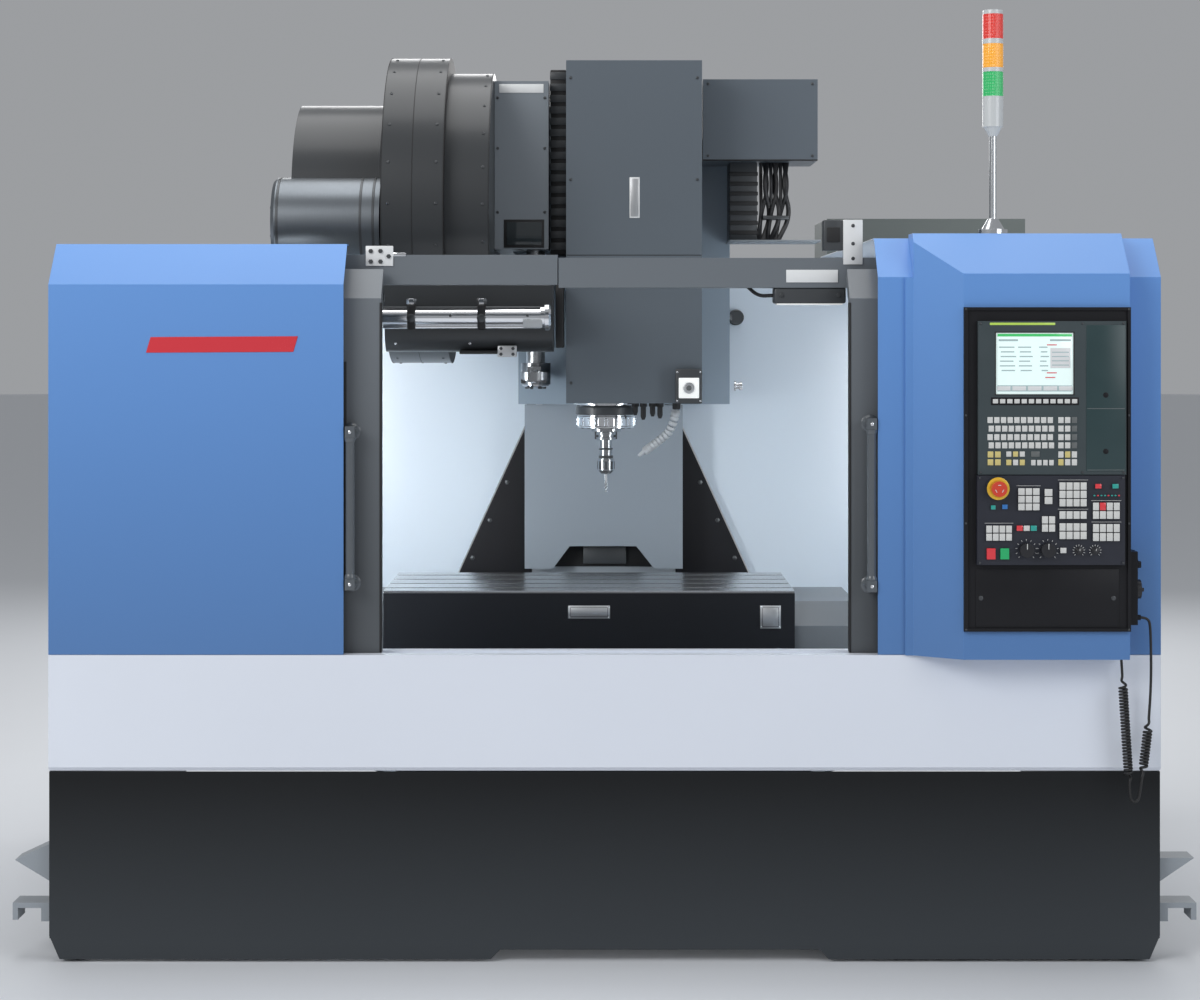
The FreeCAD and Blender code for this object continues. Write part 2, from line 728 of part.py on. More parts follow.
def operator_panel():
    body = box("operator_body", (958, 1338), (depth(-116), depth(-98)), (1054, 1284))
    guard = rod("stop_collar", 30, 6, 1010, depth(-122), 1251, "Y")
    holes = [
        rod("stop_hole", 9.3, 60, 1010, depth(-130), 1251, "Y"),
        rod("feed_hole", 4.3, 40, 1083, depth(-120), 1093, "Y"),
        rod("speed_hole", 4.3, 40, 1138, depth(-120), 1093, "Y"),
        box("stop_key_hole", (981.5, 1004.5), (depth(-120), depth(-90)), (1068.5, 1097.5)),
        box("start_key_hole", (1016.5, 1039.5), (depth(-120), depth(-90)), (1068.5, 1097.5)),
    ]
    return sub_part("operator_panel", cut("operator_panel", fuse("operator_solid", [body, guard]), holes))


def console_controls():
    stem = rod("stop_stem", 9, 30, 1010, depth(-134), 1251, "Y")
    cap = rod("stop_cap", 20, 20, 1010, depth(-150), 1251, "Y")
    sub_part("emergency_stop", fuse("emergency_stop", [stem, cap]))
    for name, x in (("cycle_stop_key", 993), ("cycle_start_key", 1028)):
        sub_part(name, box(name, (x - 11, x + 11), (depth(-122), depth(-104)), (1069, 1097)))
    for name, x in (("feed_override_knob", 1083), ("spindle_override_knob", 1138)):
        shaft = rod(f"{name}_shaft", 4, 26, x, depth(-126), 1093, "Y")
        cap = rod(f"{name}_cap", 18, 22, x, depth(-138.5), 1093, "Y")
        sub_part(name, fuse(name, [shaft, cap]))


def pendant():
    body = box("pendant_body", (1356, 1379), (depth(-80), depth(-14)), (895, 1085))
    knobs = [
        rod("axis_selector", 9, 12, 1378, depth(-62), 1050, "X"),
        rod("step_selector", 9, 12, 1378, depth(-32), 1050, "X"),
        rod("cord_gland", 7, 14, 1379, depth(-47), 911, "X"),
    ]
    hole = rod("wheel_hole", 4.3, 20, 1370, depth(-47), 985, "X")
    return sub_part("pendant", cut("pendant", fuse("pendant_solid", [body] + knobs), hole))


def handwheel():
    axle = rod("wheel_axle", 4, 14, 1372, depth(-47), 985, "X")
    rim = rod("wheel_rim", 25, 12, 1380, depth(-47), 985, "X")
    spinner = rod("wheel_spinner", 5, 14, 1384, depth(-62), 985, "X")
    return sub_part("handwheel", fuse("handwheel", [axle, rim, spinner]))


def beacon():
    x, y = 1026, depth(55)
    base, pole = cell("pod_top"), rod("beacon_pole", 9.5, 236, x, y, cell("pod_top") + 24)
    flange = rod("beacon_flange", 38, 12, x, y, base)
    boss = cone("beacon_boss", 30, 14, 28, x, y, base + 12)
    sub_part("beacon_stand", fuse("beacon_stand", [flange, boss, pole]))
    shell = [
        cone("beacon_cone", 12, 24, 24, x, y, 2170),
        rod("beacon_body", 27, 81, x, y, 2194),
        rod("beacon_ring_low", 27.6, 11, x, y, 2339.5),
        rod("beacon_ring_high", 27.6, 13, x, y, 2413.5),
        rod("beacon_cap", 26, 11, x, y, 2491.5),
        rod("beacon_core", 6, 300, x, y, 2195),
    ]
    stand_socket = rod("beacon_socket", 9.6, 12, x, y, 2162)
    sub_part("beacon_housing", cut("beacon_housing", fuse("beacon_housing_solid", shell), stand_socket))
    for name, low, high in (("green", 2275, 2339.5), ("amber", 2350.5, 2413.5), ("red", 2426.5, 2491.5)):
        lens = rod(f"{name}_outside", 27, high - low, x, y, low)
        hollow = rod(f"{name}_inside", 6, high - low, x, y, low)
        sub_part(f"beacon_{name}", cut(f"beacon_{name}", lens, hollow))


# ---------------------------------------------------------------- tool magazine


def slanted_cutter(name, x):
    """A block whose face leans across the end of the magazine, starting from x on the drum's axis."""
    block = doc.addObject("Part::Box", name)
    block.Length, block.Width, block.Height = 200, 800, 900
    lean = FreeCAD.Rotation(FreeCAD.Vector(0, 0, 1), -10.6)
    corner = FreeCAD.Placement(FreeCAD.Vector(-200, -500, 1600), FreeCAD.Rotation())
    pivot = FreeCAD.Placement(FreeCAD.Vector(x, depth(cell("drum_depth")).value, 0), lean)
    block.Placement = pivot.multiply(corner)
    return block


def magazine_cover():
    y, z = depth(cell("drum_depth")), cell("drum_height")
    outside = [
        rod("end_drum", 315, 262, -900, y, z, "X"),
        rod("main_drum", cell("drum_radius"), 175, -630, y, z, "X"),
        rod("rear_drum", 410, 128, -455, y, z, "X"),
        cone("end_step", 315, 360, 18, -648, y, z, "X"),
    ]
    inside = [
        rod("end_drum_inside", 311, 262, -896, y, z, "X"),
        rod("main_drum_inside", cell("drum_radius") - 4, 167, -626, y, z, "X"),
        rod("rear_drum_inside", 406, 130, -461, y, z, "X"),
    ]
    closed = cut("magazine_closed", fuse("magazine_outside", outside), slanted_cutter("outer_slant", -900))
    hollow = cut("magazine_hollow", fuse("magazine_inside", inside), slanted_cutter("inner_slant", -896))
    motor_room = rod("motor_room", 131, 300, -934, depth(620), 1966, "X")
    return sub_part("magazine_cover", cut("magazine_cover", closed, [hollow, motor_room]))


def magazine_drum():
    y, z = depth(cell("drum_depth")), cell("drum_height")
    disc = rod("drum_disc", 372, 20, -545, y, z, "X")
    hub = rod("drum_hub", 60, 120, -610, y, z, "X")
    pots = []
    count, pitch_radius = 24, 350
    for number in range(count):
        angle = 2 * math.pi * number / count
        pots.append(
            rod(
                f"pot_{number}", 34, 120, -606,
                y + pitch_radius * math.cos(angle), z + pitch_radius * math.sin(angle), "X",
            )
        )
    return sub_part("magazine_drum", fuse("magazine_drum", [disc, hub] + pots))


def magazine_motor():
    shell = rod("motor_shell", 130, 298, -934, depth(620), 1966, "X")
    cap = cone("motor_cap", 122, 130, 10, -944, depth(620), 1966, "X")
    return sub_part("magazine_motor", fuse("magazine_motor", [shell, cap]))


def magazine_bracket():
    base = DIMENSIONS["front_plane"]
    plan = [
        (-326, 860), (-165, 860), (-165, 1060), (-280, 1060),
        (-280, 1660), (-254, 1660), (-254, 1800), (-326, 1800),
    ]
    arm = prism("bracket_arm", "XY", [(x, y + base) for x, y in plan], 1900, 2400)
    bore = rod("arm_shaft_bore", 28.1, 360, cell("arm_x"), depth(cell("spindle_depth")), 1895)
    return sub_part("magazine_bracket", cut("magazine_bracket", arm, bore))


def change_arm():
    x, y, reach = cell("arm_x"), depth(cell("spindle_depth")), cell("arm_reach")
    sub_part("arm_shaft", rod("arm_shaft", 28, 690, x, y, 1560.2))
    hub = rod("arm_hub", 45, 65, x, y, 1495)
    bar = box("arm_bar", (x - 20, x + 20), (y - reach + 30, y + reach - 30), (1505, 1550))
    claws, throats = [], []
    for side in (-1, 1):
        spot = y + reach * side
        claws.append(rod(f"claw_{side + 1}", 45, 24, x, spot, 1512))
        throats.append(rod(f"claw_bore_{side + 1}", 32, 40, x, spot, 1504))
        mouth = sorted((x, x + 60 * side), key=lambda edge: edge.value)
        throats.append(box(f"claw_mouth_{side + 1}", mouth, (spot - 27, spot + 27), (1504, 1544)))
    solid = fuse("change_arm_solid", [hub, bar] + claws)
    return sub_part("change_arm", cut("change_arm", solid, throats))


# ---------------------------------------------------------------- pendant cord


CORD_DEPTH = -47
CORD_ROUTE = [
    (1393, 911), (1411, 911), (1420, 893), (1421, 690), (1392, 452),
    (1385, 430), (1371, 430), (1364, 452), (1343, 806.8),
]
CORD_RADIUS = 3.5
COIL_RADIUS = 13
COILED = ((3, 0.03, 0.82), (7, 0.16, 0.97))


def pendant_cord():
    """A plain tube along the route, with a fat tube of the coil's outer size over each curly stretch."""
    y = DIMENSIONS["front_plane"] + CORD_DEPTH
    points = [FreeCAD.Vector(x, y, z) for x, z in CORD_ROUTE]
    edges = []
    start = points[0]
    straight = 0.0
    for before, corner, after in zip(points, points[1:], points[2:]):
        into, out = (corner - before), (after - corner)
        half_turn = into.getAngle(out) / 2
        cut_back = 0.45 * min(into.Length, out.Length)
        radius = cut_back / math.tan(half_turn)
        into.normalize()
        out.normalize()
        begin, end = corner - into * cut_back, corner + out * cut_back
        inward = (out - into).normalize()
        middle = corner + inward * (radius / math.cos(half_turn) - radius)
        print(f"cord arc radius {radius:.1f} mm, turn {math.degrees(2 * half_turn):.0f} degrees")
        edges.append(Part.LineSegment(start, begin).toShape())
        edges.append(Part.Arc(begin, middle, end).toShape())
        start = end
    edges.append(Part.LineSegment(start, points[-1]).toShape())
    path = Part.Wire(edges)
    first = points[1] - points[0]
    section = Part.Wire([Part.makeCircle(CORD_RADIUS, points[0], first)])
    tube = path.makePipeShell([section], True, False)
    expected = math.pi * CORD_RADIUS**2 * path.Length
    print(f"cord length {path.Length:.0f} mm, volume ratio {tube.Volume / expected:.3f}")
    for number, from_part, to_part in COILED:
        run = points[number + 1] - points[number]
        low = points[number] + run * from_part
        coil = Part.makeCylinder(COIL_RADIUS, run.Length * (to_part - from_part), low, run)
        tube = tube.fuse(coil)
        print(f"coiled stretch {run.Length * (to_part - from_part):.0f} mm")
    feature = doc.addObject("Part::Feature", "pendant_cord")
    feature.Shape = tube.removeSplitter()
    feature.Placement = FreeCAD.Placement()
    return sub_part("pendant_cord", feature)


def build():
    base_casting()
    leveling_pads()
    column()
    guide_rails()
    leg_covers()
    ballscrews()
    servo_motors()
    saddle()
    table_rails()
    table()
    table_apron()
    table_end_covers()
    head_casting()
    head_cover()
    head_side_box()
    column_shield()
    spindle_housing()
    spindle_shaft()
    tool_holder()
    front_skirt()
    side_skirts()
    side_brackets()
    apron_band()
    half = cell("half_width")
    front_cover("left_cover", -half, cell("left_inner"), DIMENSIONS["left_chamfer"], DIMENSIONS["left_top"])
    chamfer, top = DIMENSIONS["right_chamfer"], DIMENSIONS["right_top"]
    front_cover("right_cover", cell("right_inner"), half, chamfer, top)
    side_panel("left_side_panel", -1, DIMENSIONS["left_chamfer"], DIMENSIONS["left_top"], -1000)
    side_panel("right_side_panel", 1, DIMENSIONS["right_chamfer"], DIMENSIONS["right_top"], 716)
    splash_walls()
    door_lintels()
    door("door_left", cell("opening_left") - cell("door_width"))
    door("door_right", cell("opening_right"))
    door_handle("handle_left", -667, 977, 1406)
    door_handle("handle_right", 700, 972, 1427)
    electrical_cabinet()
    cabinet_door()
    console_pod()
    console_bezel()
    display_unit()
    operator_panel()
    console_controls()
    pendant()
    handwheel()
    beacon()
    magazine_cover()
    magazine_drum()
    magazine_motor()
    magazine_bracket()
    change_arm()
    pendant_cord()


def check():
    doc.recompute()
    for item in doc.Objects:
        if "Invalid" in item.State or "Error" in item.State:
            raise RuntimeError(f"{item.Name} failed: {item.State}")
    for label, thing in SUB_PARTS:
        if thing.Shape.isNull() or not thing.Shape.isValid() or not thing.Shape.Solids:
            raise RuntimeError(f"{label} has no valid solid")


def write():
    os.makedirs("parts", exist_ok=True)
    for label, thing in SUB_PARTS:
        thing.Shape.exportStep(os.path.join("parts", f"{label}.step"))
    print(f"{len(SUB_PARTS)} sub-parts written")


build()
check()
write()
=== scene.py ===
"""The looks of a vertical machining centre with a sliding-door enclosure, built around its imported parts."""

import json
import math

import bmesh
import bpy
from mathutils import Matrix, Vector


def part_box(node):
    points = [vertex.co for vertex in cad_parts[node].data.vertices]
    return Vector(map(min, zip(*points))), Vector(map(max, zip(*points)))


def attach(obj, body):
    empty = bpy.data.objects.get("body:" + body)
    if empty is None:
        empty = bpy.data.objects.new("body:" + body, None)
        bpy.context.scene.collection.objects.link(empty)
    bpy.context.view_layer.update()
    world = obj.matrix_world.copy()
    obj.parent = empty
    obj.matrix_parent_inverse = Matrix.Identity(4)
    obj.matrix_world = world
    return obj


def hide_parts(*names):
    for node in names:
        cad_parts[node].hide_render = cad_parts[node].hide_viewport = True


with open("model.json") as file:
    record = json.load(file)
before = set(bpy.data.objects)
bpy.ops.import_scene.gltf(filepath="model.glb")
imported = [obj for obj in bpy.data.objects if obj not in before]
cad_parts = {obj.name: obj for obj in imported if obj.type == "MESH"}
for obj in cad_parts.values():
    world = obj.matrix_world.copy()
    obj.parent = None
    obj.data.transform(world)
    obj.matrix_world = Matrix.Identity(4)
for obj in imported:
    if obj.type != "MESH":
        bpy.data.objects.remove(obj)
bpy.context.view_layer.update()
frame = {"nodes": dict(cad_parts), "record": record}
scene = bpy.context.scene
record_color = {row["slot"]: row["base_color"] for row in frame["record"]["materials"]}

MM = 0.001
LEFT, RIGHT, REAR, UP = Vector((-1, 0, 0)), Vector((1, 0, 0)), Vector((0, 1, 0)), Vector((0, 0, 1))
FRONT, DOWN = -REAR, -UP


# ---------------------------------------------------------------- shader tools


class Value:
    """A socket of a finish's nodes that takes part in arithmetic."""

    def __init__(self, finish, socket):
        self.finish = finish
        self.socket = socket

    def step(self, operation, first, second=0.0):
        return self.finish.node("ShaderNodeMath", {"operation": operation}, {0: first, 1: second})

    def __add__(self, other):
        return self.step("ADD", self, other)

    def __sub__(self, other):
        return self.step("SUBTRACT", self, other)

    def __rsub__(self, other):
        return self.step("SUBTRACT", other, self)

    def __mul__(self, other):
        return self.step("MULTIPLY", self, other)

    def __truediv__(self, other):
        return self.step("DIVIDE", self, other)

    def wave(self, length):
        """A smooth wave from 0 to 1 that repeats at each length."""
        turns = self * (2 * math.pi / length)
        return self.step("SINE", turns) * 0.5 + 0.5

    def clamped(self):
        return self.finish.node("ShaderNodeClamp", {}, {"Value": self})

    __radd__ = __add__
    __rmul__ = __mul__


class Finish:
    """A material made of nodes, with one Principled shader that the finished surface feeds."""

    def __init__(self, name, color=None):
        self.material = bpy.data.materials.new(name)
        self.material.use_nodes = True
        self.tree = self.material.node_tree
        self.shader = next(n for n in self.tree.nodes if n.type == "BSDF_PRINCIPLED")
        self.color = color or record_color[name]
        self.place = self.node("ShaderNodeTexCoord", {}, {}, "Object")

    def node(self, kind, settings, sockets, output=0):
        made = self.tree.nodes.new(kind)
        for key, value in settings.items():
            setattr(made, key, value)
        for key, value in sockets.items():
            self.feed(made.inputs[key], value)
        return Value(self, made.outputs[output])

    def feed(self, socket, value):
        if isinstance(value, Value):
            self.tree.links.new(value.socket, socket)
        else:
            socket.default_value = value

    def surface(self, **sockets):
        """Feeds the shader: each name is a socket's name with _ for a space."""
        for key, value in sockets.items():
            self.feed(self.shader.inputs[key.replace("_", " ")], value)
        return self.material

    def along(self, axis):
        """The place along X, Y or Z in metres."""
        return self.node("ShaderNodeSeparateXYZ", {}, {0: self.place}, axis)

    def height(self, low, high):
        """0 at the low height and 1 at the high one."""
        return ((self.along("Z") - low) / (high - low)).clamped()

    def noise(self, scale, detail=2.0, stretch=(1, 1, 1)):
        place = self.node("ShaderNodeVectorMath", {"operation": "MULTIPLY"}, {0: self.place, 1: stretch})
        return self.node("ShaderNodeTexNoise", {}, {"Vector": place, "Scale": scale, "Detail": detail})

    def cells(self, scale):
        return self.node("ShaderNodeTexVoronoi", {}, {"Vector": self.place, "Scale": scale}, "Distance")

    def shade(self, brightness, tint=(1, 1, 1)):
        """The finish's own colour, brighter or darker."""
        return (*[min(1.0, c * brightness * t) for c, t in zip(self.color, tint)], 1.0)

    def mix(self, factor, first, second):
        settings = {"data_type": "RGBA"}
        return self.node("ShaderNodeMix", settings, {0: factor, 6: first, 7: second}, 2)

    def soft_edges(self, radius):
        """(the normal rounded over each sharp edge, how near an edge is from 0 to 1)."""
        rounded = self.node("ShaderNodeBevel", {"samples": 4}, {"Radius": radius})
        flat = self.node("ShaderNodeNewGeometry", {}, {}, "Normal")
        facing = self.node("ShaderNodeVectorMath", {"operation": "DOT_PRODUCT"}, {0: rounded, 1: flat}, 1)
        return rounded, ((1.0 - facing) * 6.0).clamped()

    def bump(self, height, depth, normal=None):
        sockets = {"Height": height, "Distance": depth, "Strength": 1.0}
        if normal is not None:
            sockets["Normal"] = normal
        return self.node("ShaderNodeBump", {}, sockets)


# ---------------------------------------------------------------- finishes


def painted(name, roughness=0.36, coat=0.2, edge=1.6, foot=1.0, head=1.0, span=(0.0, 2.0), color=None,
            shine=0.5):
    """Baked enamel: orange peel, faint clouds, brighter edges, and painted light and shade that changes with
    height.
    """
    finish = Finish(name, color)
    rounded, near_edge = finish.soft_edges(1.6 * MM)
    clouds = finish.noise(1.7, 3.0)
    peel = finish.noise(420, 2.0)
    specks = finish.noise(2600, 1.0)
    # Painted light and shade: the colour runs from the foot's brightness to the head's over the span of
    # heights.
    height_light_and_shade = finish.mix(finish.height(*span), finish.shade(foot), finish.shade(head))
    smudged = finish.mix(clouds * 0.16, height_light_and_shade, finish.shade(0.7))
    worn = finish.mix(near_edge * 0.45, smudged, finish.shade(edge))
    return finish.surface(
        Base_Color=worn,
        Roughness=clouds * 0.12 + peel * 0.06 + (roughness - 0.09),
        Normal=finish.bump(peel * 0.7 + specks * 0.3, 0.05 * MM, rounded),
        Coat_Weight=coat,
        Coat_Roughness=0.18,
        Specular_IOR_Level=shine,
    )


def ground(name, roughness=0.26, stretch=(1, 40, 40), tint=1.0, color=None):
    """Steel with the fine lines of grinding or brushing along one axis."""
    finish = Finish(name, color)
    rounded, near_edge = finish.soft_edges(0.8 * MM)
    lines = finish.noise(55, 3.0, stretch)
    stain = finish.noise(6, 3.0)
    base = finish.mix(lines * 0.4 + stain * 0.2, finish.shade(1.15 * tint), finish.shade(0.62 * tint))
    return finish.surface(
        Base_Color=finish.mix(near_edge * 0.5, base, finish.shade(1.35)),
        Metallic=0.92,
        Roughness=lines * 0.18 + stain * 0.1 + (roughness - 0.12),
        Normal=finish.bump(lines, 0.03 * MM, rounded),
    )


def polished(name, roughness=0.12, color=None):
    """Turned and chromed steel with faint rings and handling marks."""
    finish = Finish(name, color)
    rounded, _ = finish.soft_edges(0.7 * MM)
    rings = finish.noise(90, 2.0, (1, 1, 14))
    marks = finish.noise(14, 4.0)
    return finish.surface(
        Base_Color=finish.mix(marks * 0.25, finish.shade(1.1), finish.shade(0.75)),
        Metallic=1.0,
        Roughness=marks * 0.14 + (roughness - 0.04),
        Normal=finish.bump(rings, 0.02 * MM, rounded),
    )


def cast(name):
    """Grey iron: a sandy skin, darker hollows and bright machined edges."""
    finish = Finish(name)
    rounded, near_edge = finish.soft_edges(3 * MM)
    sand = finish.noise(320, 4.0)
    patches = finish.noise(9, 4.0)
    base = finish.mix(patches * 0.6, finish.shade(1.1), finish.shade(0.6))
    return finish.surface(
        Base_Color=finish.mix(near_edge * 0.6, base, finish.shade(1.9)),
        Metallic=0.55,
        Roughness=patches * 0.2 + 0.38,
        Normal=finish.bump(sand, 0.35 * MM, rounded),
    )


def moulded(name, roughness=0.5, grain=900, depth=0.06, color=None, shine=0.5):
    """Moulded plastic or textured film with a fine even grain."""
    finish = Finish(name, color)
    rounded, near_edge = finish.soft_edges(0.8 * MM)
    leather = finish.cells(grain)
    dust = finish.noise(18, 4.0)
    base = finish.mix(dust * 0.3, finish.shade(1.0), finish.shade(1.5))
    return finish.surface(
        Base_Color=finish.mix(near_edge * 0.5, base, finish.shade(2.4)),
        Roughness=dust * 0.14 + (roughness - 0.07),
        Normal=finish.bump(leather, depth * MM, rounded),
        Specular_IOR_Level=shine,
    )


def glossy(name, roughness=0.2, color=None, glow=0.0):
    """Smooth bright plastic with a shine and faint handling marks; glow lights it a little from within."""
    finish = Finish(name, color)
    rounded, near_edge = finish.soft_edges(0.8 * MM)
    marks = finish.noise(60, 4.0)
    base = finish.mix(marks * 0.25, finish.shade(1.05), finish.shade(0.8))
    finish.surface(
        Base_Color=finish.mix(near_edge * 0.4, base, finish.shade(1.35)),
        Roughness=marks * 0.12 + (roughness - 0.05),
        Normal=finish.bump(marks, 0.02 * MM, rounded),
        Coat_Weight=0.35,
    )
    if glow:
        finish.surface(Emission_Color=finish.shade(1.0), Emission_Strength=glow)
    return finish.material


def ribbed_lens(name):
    """A beacon lens: upright ribs under a clear skin, deeper colour between them, and a faint painted glow.
    """
    finish = Finish(name)
    low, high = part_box("beacon_green")
    middle = (low + high) / 2
    across = finish.along("X") - middle.x
    back = finish.along("Y") - middle.y
    angle = finish.node("ShaderNodeMath", {"operation": "ARCTAN2"}, {0: back, 1: across})
    ribs = angle.wave(2 * math.pi / 36)
    rings = finish.along("Z").wave(8 * MM)
    base = finish.mix(ribs * 0.5 + rings * 0.2, finish.shade(1.25), finish.shade(0.55))
    return finish.surface(
        Base_Color=base,
        Roughness=rings * 0.08 + 0.14,
        Normal=finish.bump(ribs + rings * 0.4, 0.6 * MM),
        Coat_Weight=0.6,
        # Painted glow: every lens glows the same faint amount, standing in for light through the clear skin.
        Emission_Color=finish.shade(1.0),
        Emission_Strength=0.35,
    )


finishes = {
    "cast_iron": cast("cast_iron"),
    "casting_paint": painted("casting_paint", 0.42),
    "ground_steel": ground("ground_steel"),
    # cover_blue: painted light, lighter towards the top and darker low down.
    "cover_blue": painted("cover_blue", 0.34, 0.3, 1.5, foot=0.68, head=1.12, span=(0.8, 1.9), shine=0.35),
    "apron_white": painted("apron_white", 0.34, 0.25, 1.1),
    # skirt_charcoal: painted shadow, much darker at the top under the white apron's edge.
    "skirt_charcoal": painted("skirt_charcoal", 0.5, 0, 1.8, 1.3, 0.16, span=(0.05, 0.48), shine=0.25),
    "panel_grey": painted("panel_grey", 0.4, 0.15, foot=1.35, head=1.35),
    # stile_grey: painted light, brighter towards the top of the stiles.
    "stile_grey": painted("stile_grey", 0.34, 0.25, 1.9, foot=0.9, head=2.0, span=(0.9, 1.9)),
    "splash_white": painted("splash_white", 0.3, 0.25, 1.1),
    "leg_black": painted("leg_black", 0.4, 0.05, 2.4, foot=0.5, head=0.5, shine=0.25),
    # head_grey: painted shade, a little darker low down on the head.
    "head_grey": painted("head_grey", 0.42, 0.12, 1.7, foot=0.86, head=0.92, span=(1.4, 2.4)),
    "head_casting_paint": painted("head_casting_paint", 0.4, 0.15, 1.3, foot=0.68, head=0.68),
    "shield_grey": painted("shield_grey", 0.3, 0.2, 1.4),
    "magazine_dark": painted("magazine_dark", 0.34, 0.15, 2.0, foot=0.5, head=0.62, shine=0.4),
    "motor_grey": ground("motor_grey", 0.34, (40, 1, 1), 0.9),
    "console_black": moulded("console_black", 0.42, shine=0.2),
    "display_grey": moulded("display_grey", 0.4),
    "operator_film": moulded("operator_film", 0.42, 1500, 0.03),
    "stop_red": glossy("stop_red", 0.22),
    "start_green": glossy("start_green", 0.24, glow=0.2),
    "key_red": glossy("key_red", 0.24, glow=0.2),
    "knob_black": moulded("knob_black", 0.36, 1200, 0.04),
    "cord_black": moulded("cord_black", 0.46, 1500, 0.05),
    "beacon_shell": glossy("beacon_shell", 0.24),
    "lens_green": ribbed_lens("lens_green"),
    "lens_amber": ribbed_lens("lens_amber"),
    "lens_red": ribbed_lens("lens_red"),
    "pole_steel": polished("pole_steel"),
    "table_steel": ground("table_steel", 0.2, (1, 30, 30)),
    "apron_black": painted("apron_black", 0.36, 0.1, 2.6, foot=0.6, head=0.6, shine=0.25),
    "nose_steel": polished("nose_steel", 0.14),
    "tool_steel": polished("tool_steel", 0.2),
    "handle_black": painted("handle_black", 0.24, 0.5, 1.6, foot=2.6, head=2.6),
    "cabinet_olive": painted("cabinet_olive", 0.42, 0.12, 1.5),
}
# Painted shade: darker copies of panel_grey for the lintels and the table's end covers, the end covers
# darkest low down.
shaded_panel_grey_copies = {
    "table_end_covers": painted("panel_grey", 0.4, 0.15, foot=0.55, head=0.8, span=(0.6, 0.9)),
    "door_lintels": painted("panel_grey", 0.4, 0.15, foot=0.95, head=0.95),
}
for row in frame["record"]["subparts"]:
    for place in frame["nodes"][row["node"]].material_slots:
        place.material = shaded_panel_grey_copies.get(row["node"]) or finishes[row["material_slot"]]

finishes.update({
    "badge_red": painted("badge_red", 0.25, 0.4, 1.2, color=(0.68, 0.035, 0.05)),
    "label_white": glossy("label_white", 0.35, color=(0.78, 0.79, 0.79)),
    "plate_silver": ground("plate_silver", 0.32, (30, 1, 1), color=(0.62, 0.63, 0.64)),
    "bright_steel": polished("bright_steel", 0.1, color=(0.82, 0.83, 0.85)),
    "dark_steel": ground("dark_steel", 0.4, (1, 1, 6), color=(0.10, 0.105, 0.11)),
    "gasket_black": moulded("gasket_black", 0.6, 700, 0.1, color=(0.012, 0.012, 0.013)),
    "black_cable": moulded("black_cable", 0.42, 1100, 0.05, color=(0.014, 0.014, 0.016)),
    "key_grey": moulded("key_grey", 0.4, 1400, 0.02, color=(0.12, 0.13, 0.13)),
    "key_teal": glossy("key_teal", 0.3, color=(0.02, 0.30, 0.26), glow=0.15),
    "ring_yellow": glossy("ring_yellow", 0.3, color=(0.80, 0.50, 0.03)),
    "tick_white": glossy("tick_white", 0.4, color=(0.70, 0.70, 0.68)),
    "strip_green": glossy("strip_green", 0.3, color=(0.38, 0.55, 0.08), glow=0.3),
    "side_teal": moulded("side_teal", 0.34, 1200, 0.03, color=(0.020, 0.045, 0.048)),
    "window_tint": glossy("window_tint", 0.06, color=(0.030, 0.038, 0.042)),
    "nozzle_grey": moulded("nozzle_grey", 0.4, 900, 0.04, color=(0.50, 0.52, 0.54)),
    "lamp_glass": glossy("lamp_glass", 0.1, color=(0.85, 0.86, 0.84), glow=0.4),
    "roof_dark": painted("roof_dark", 0.42, 0.1, 1.8, color=(0.05, 0.055, 0.06)),
})
for name, color in (
    ("key_white", (0.62, 0.62, 0.60)), ("key_yellow", (0.62, 0.52, 0.20)), ("key_blue", (0.03, 0.16, 0.45)),
):
    finishes[name] = moulded(name, 0.36, 1400, 0.02, color=color)
for name, color, glow in (
    ("screen_pale", (0.62, 0.74, 0.72), 0.55), ("screen_header", (0.05, 0.42, 0.12), 0.5),
    ("screen_line", (0.34, 0.44, 0.45), 0.25), ("screen_mark", (0.60, 0.14, 0.16), 0.3),
):
    finishes[name] = glossy(name, 0.14, color=color, glow=glow)


# ---------------------------------------------------------------- mesh tools


def mm(*sizes):
    """A place or a step given in millimetres."""
    return Vector(sizes) * MM


def round_about(count, first, second, shift=0.0):
    """(angle, direction) at even steps round a circle, from the first direction towards the second."""
    for number in range(count):
        angle = 2 * math.pi * (number + shift) / count
        yield angle, first * math.cos(angle) + second * math.sin(angle)


def stud(radius, shoulder, crown, tall):
    """The profile of a round head whose edge is cut back from its shoulder to its crown."""
    return [(0, 0), (radius, 0), (radius, shoulder), (crown, tall), (0, tall)]


class Front:
    """A flat front of a CAD node, in millimetres: across from its left edge, up from its foot, and out."""

    def __init__(self, node):
        self.low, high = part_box(node)
        self.width, _, self.height = (high - self.low) / MM

    def at(self, across, up, out=0.0):
        return self.low + mm(across, -out, up)


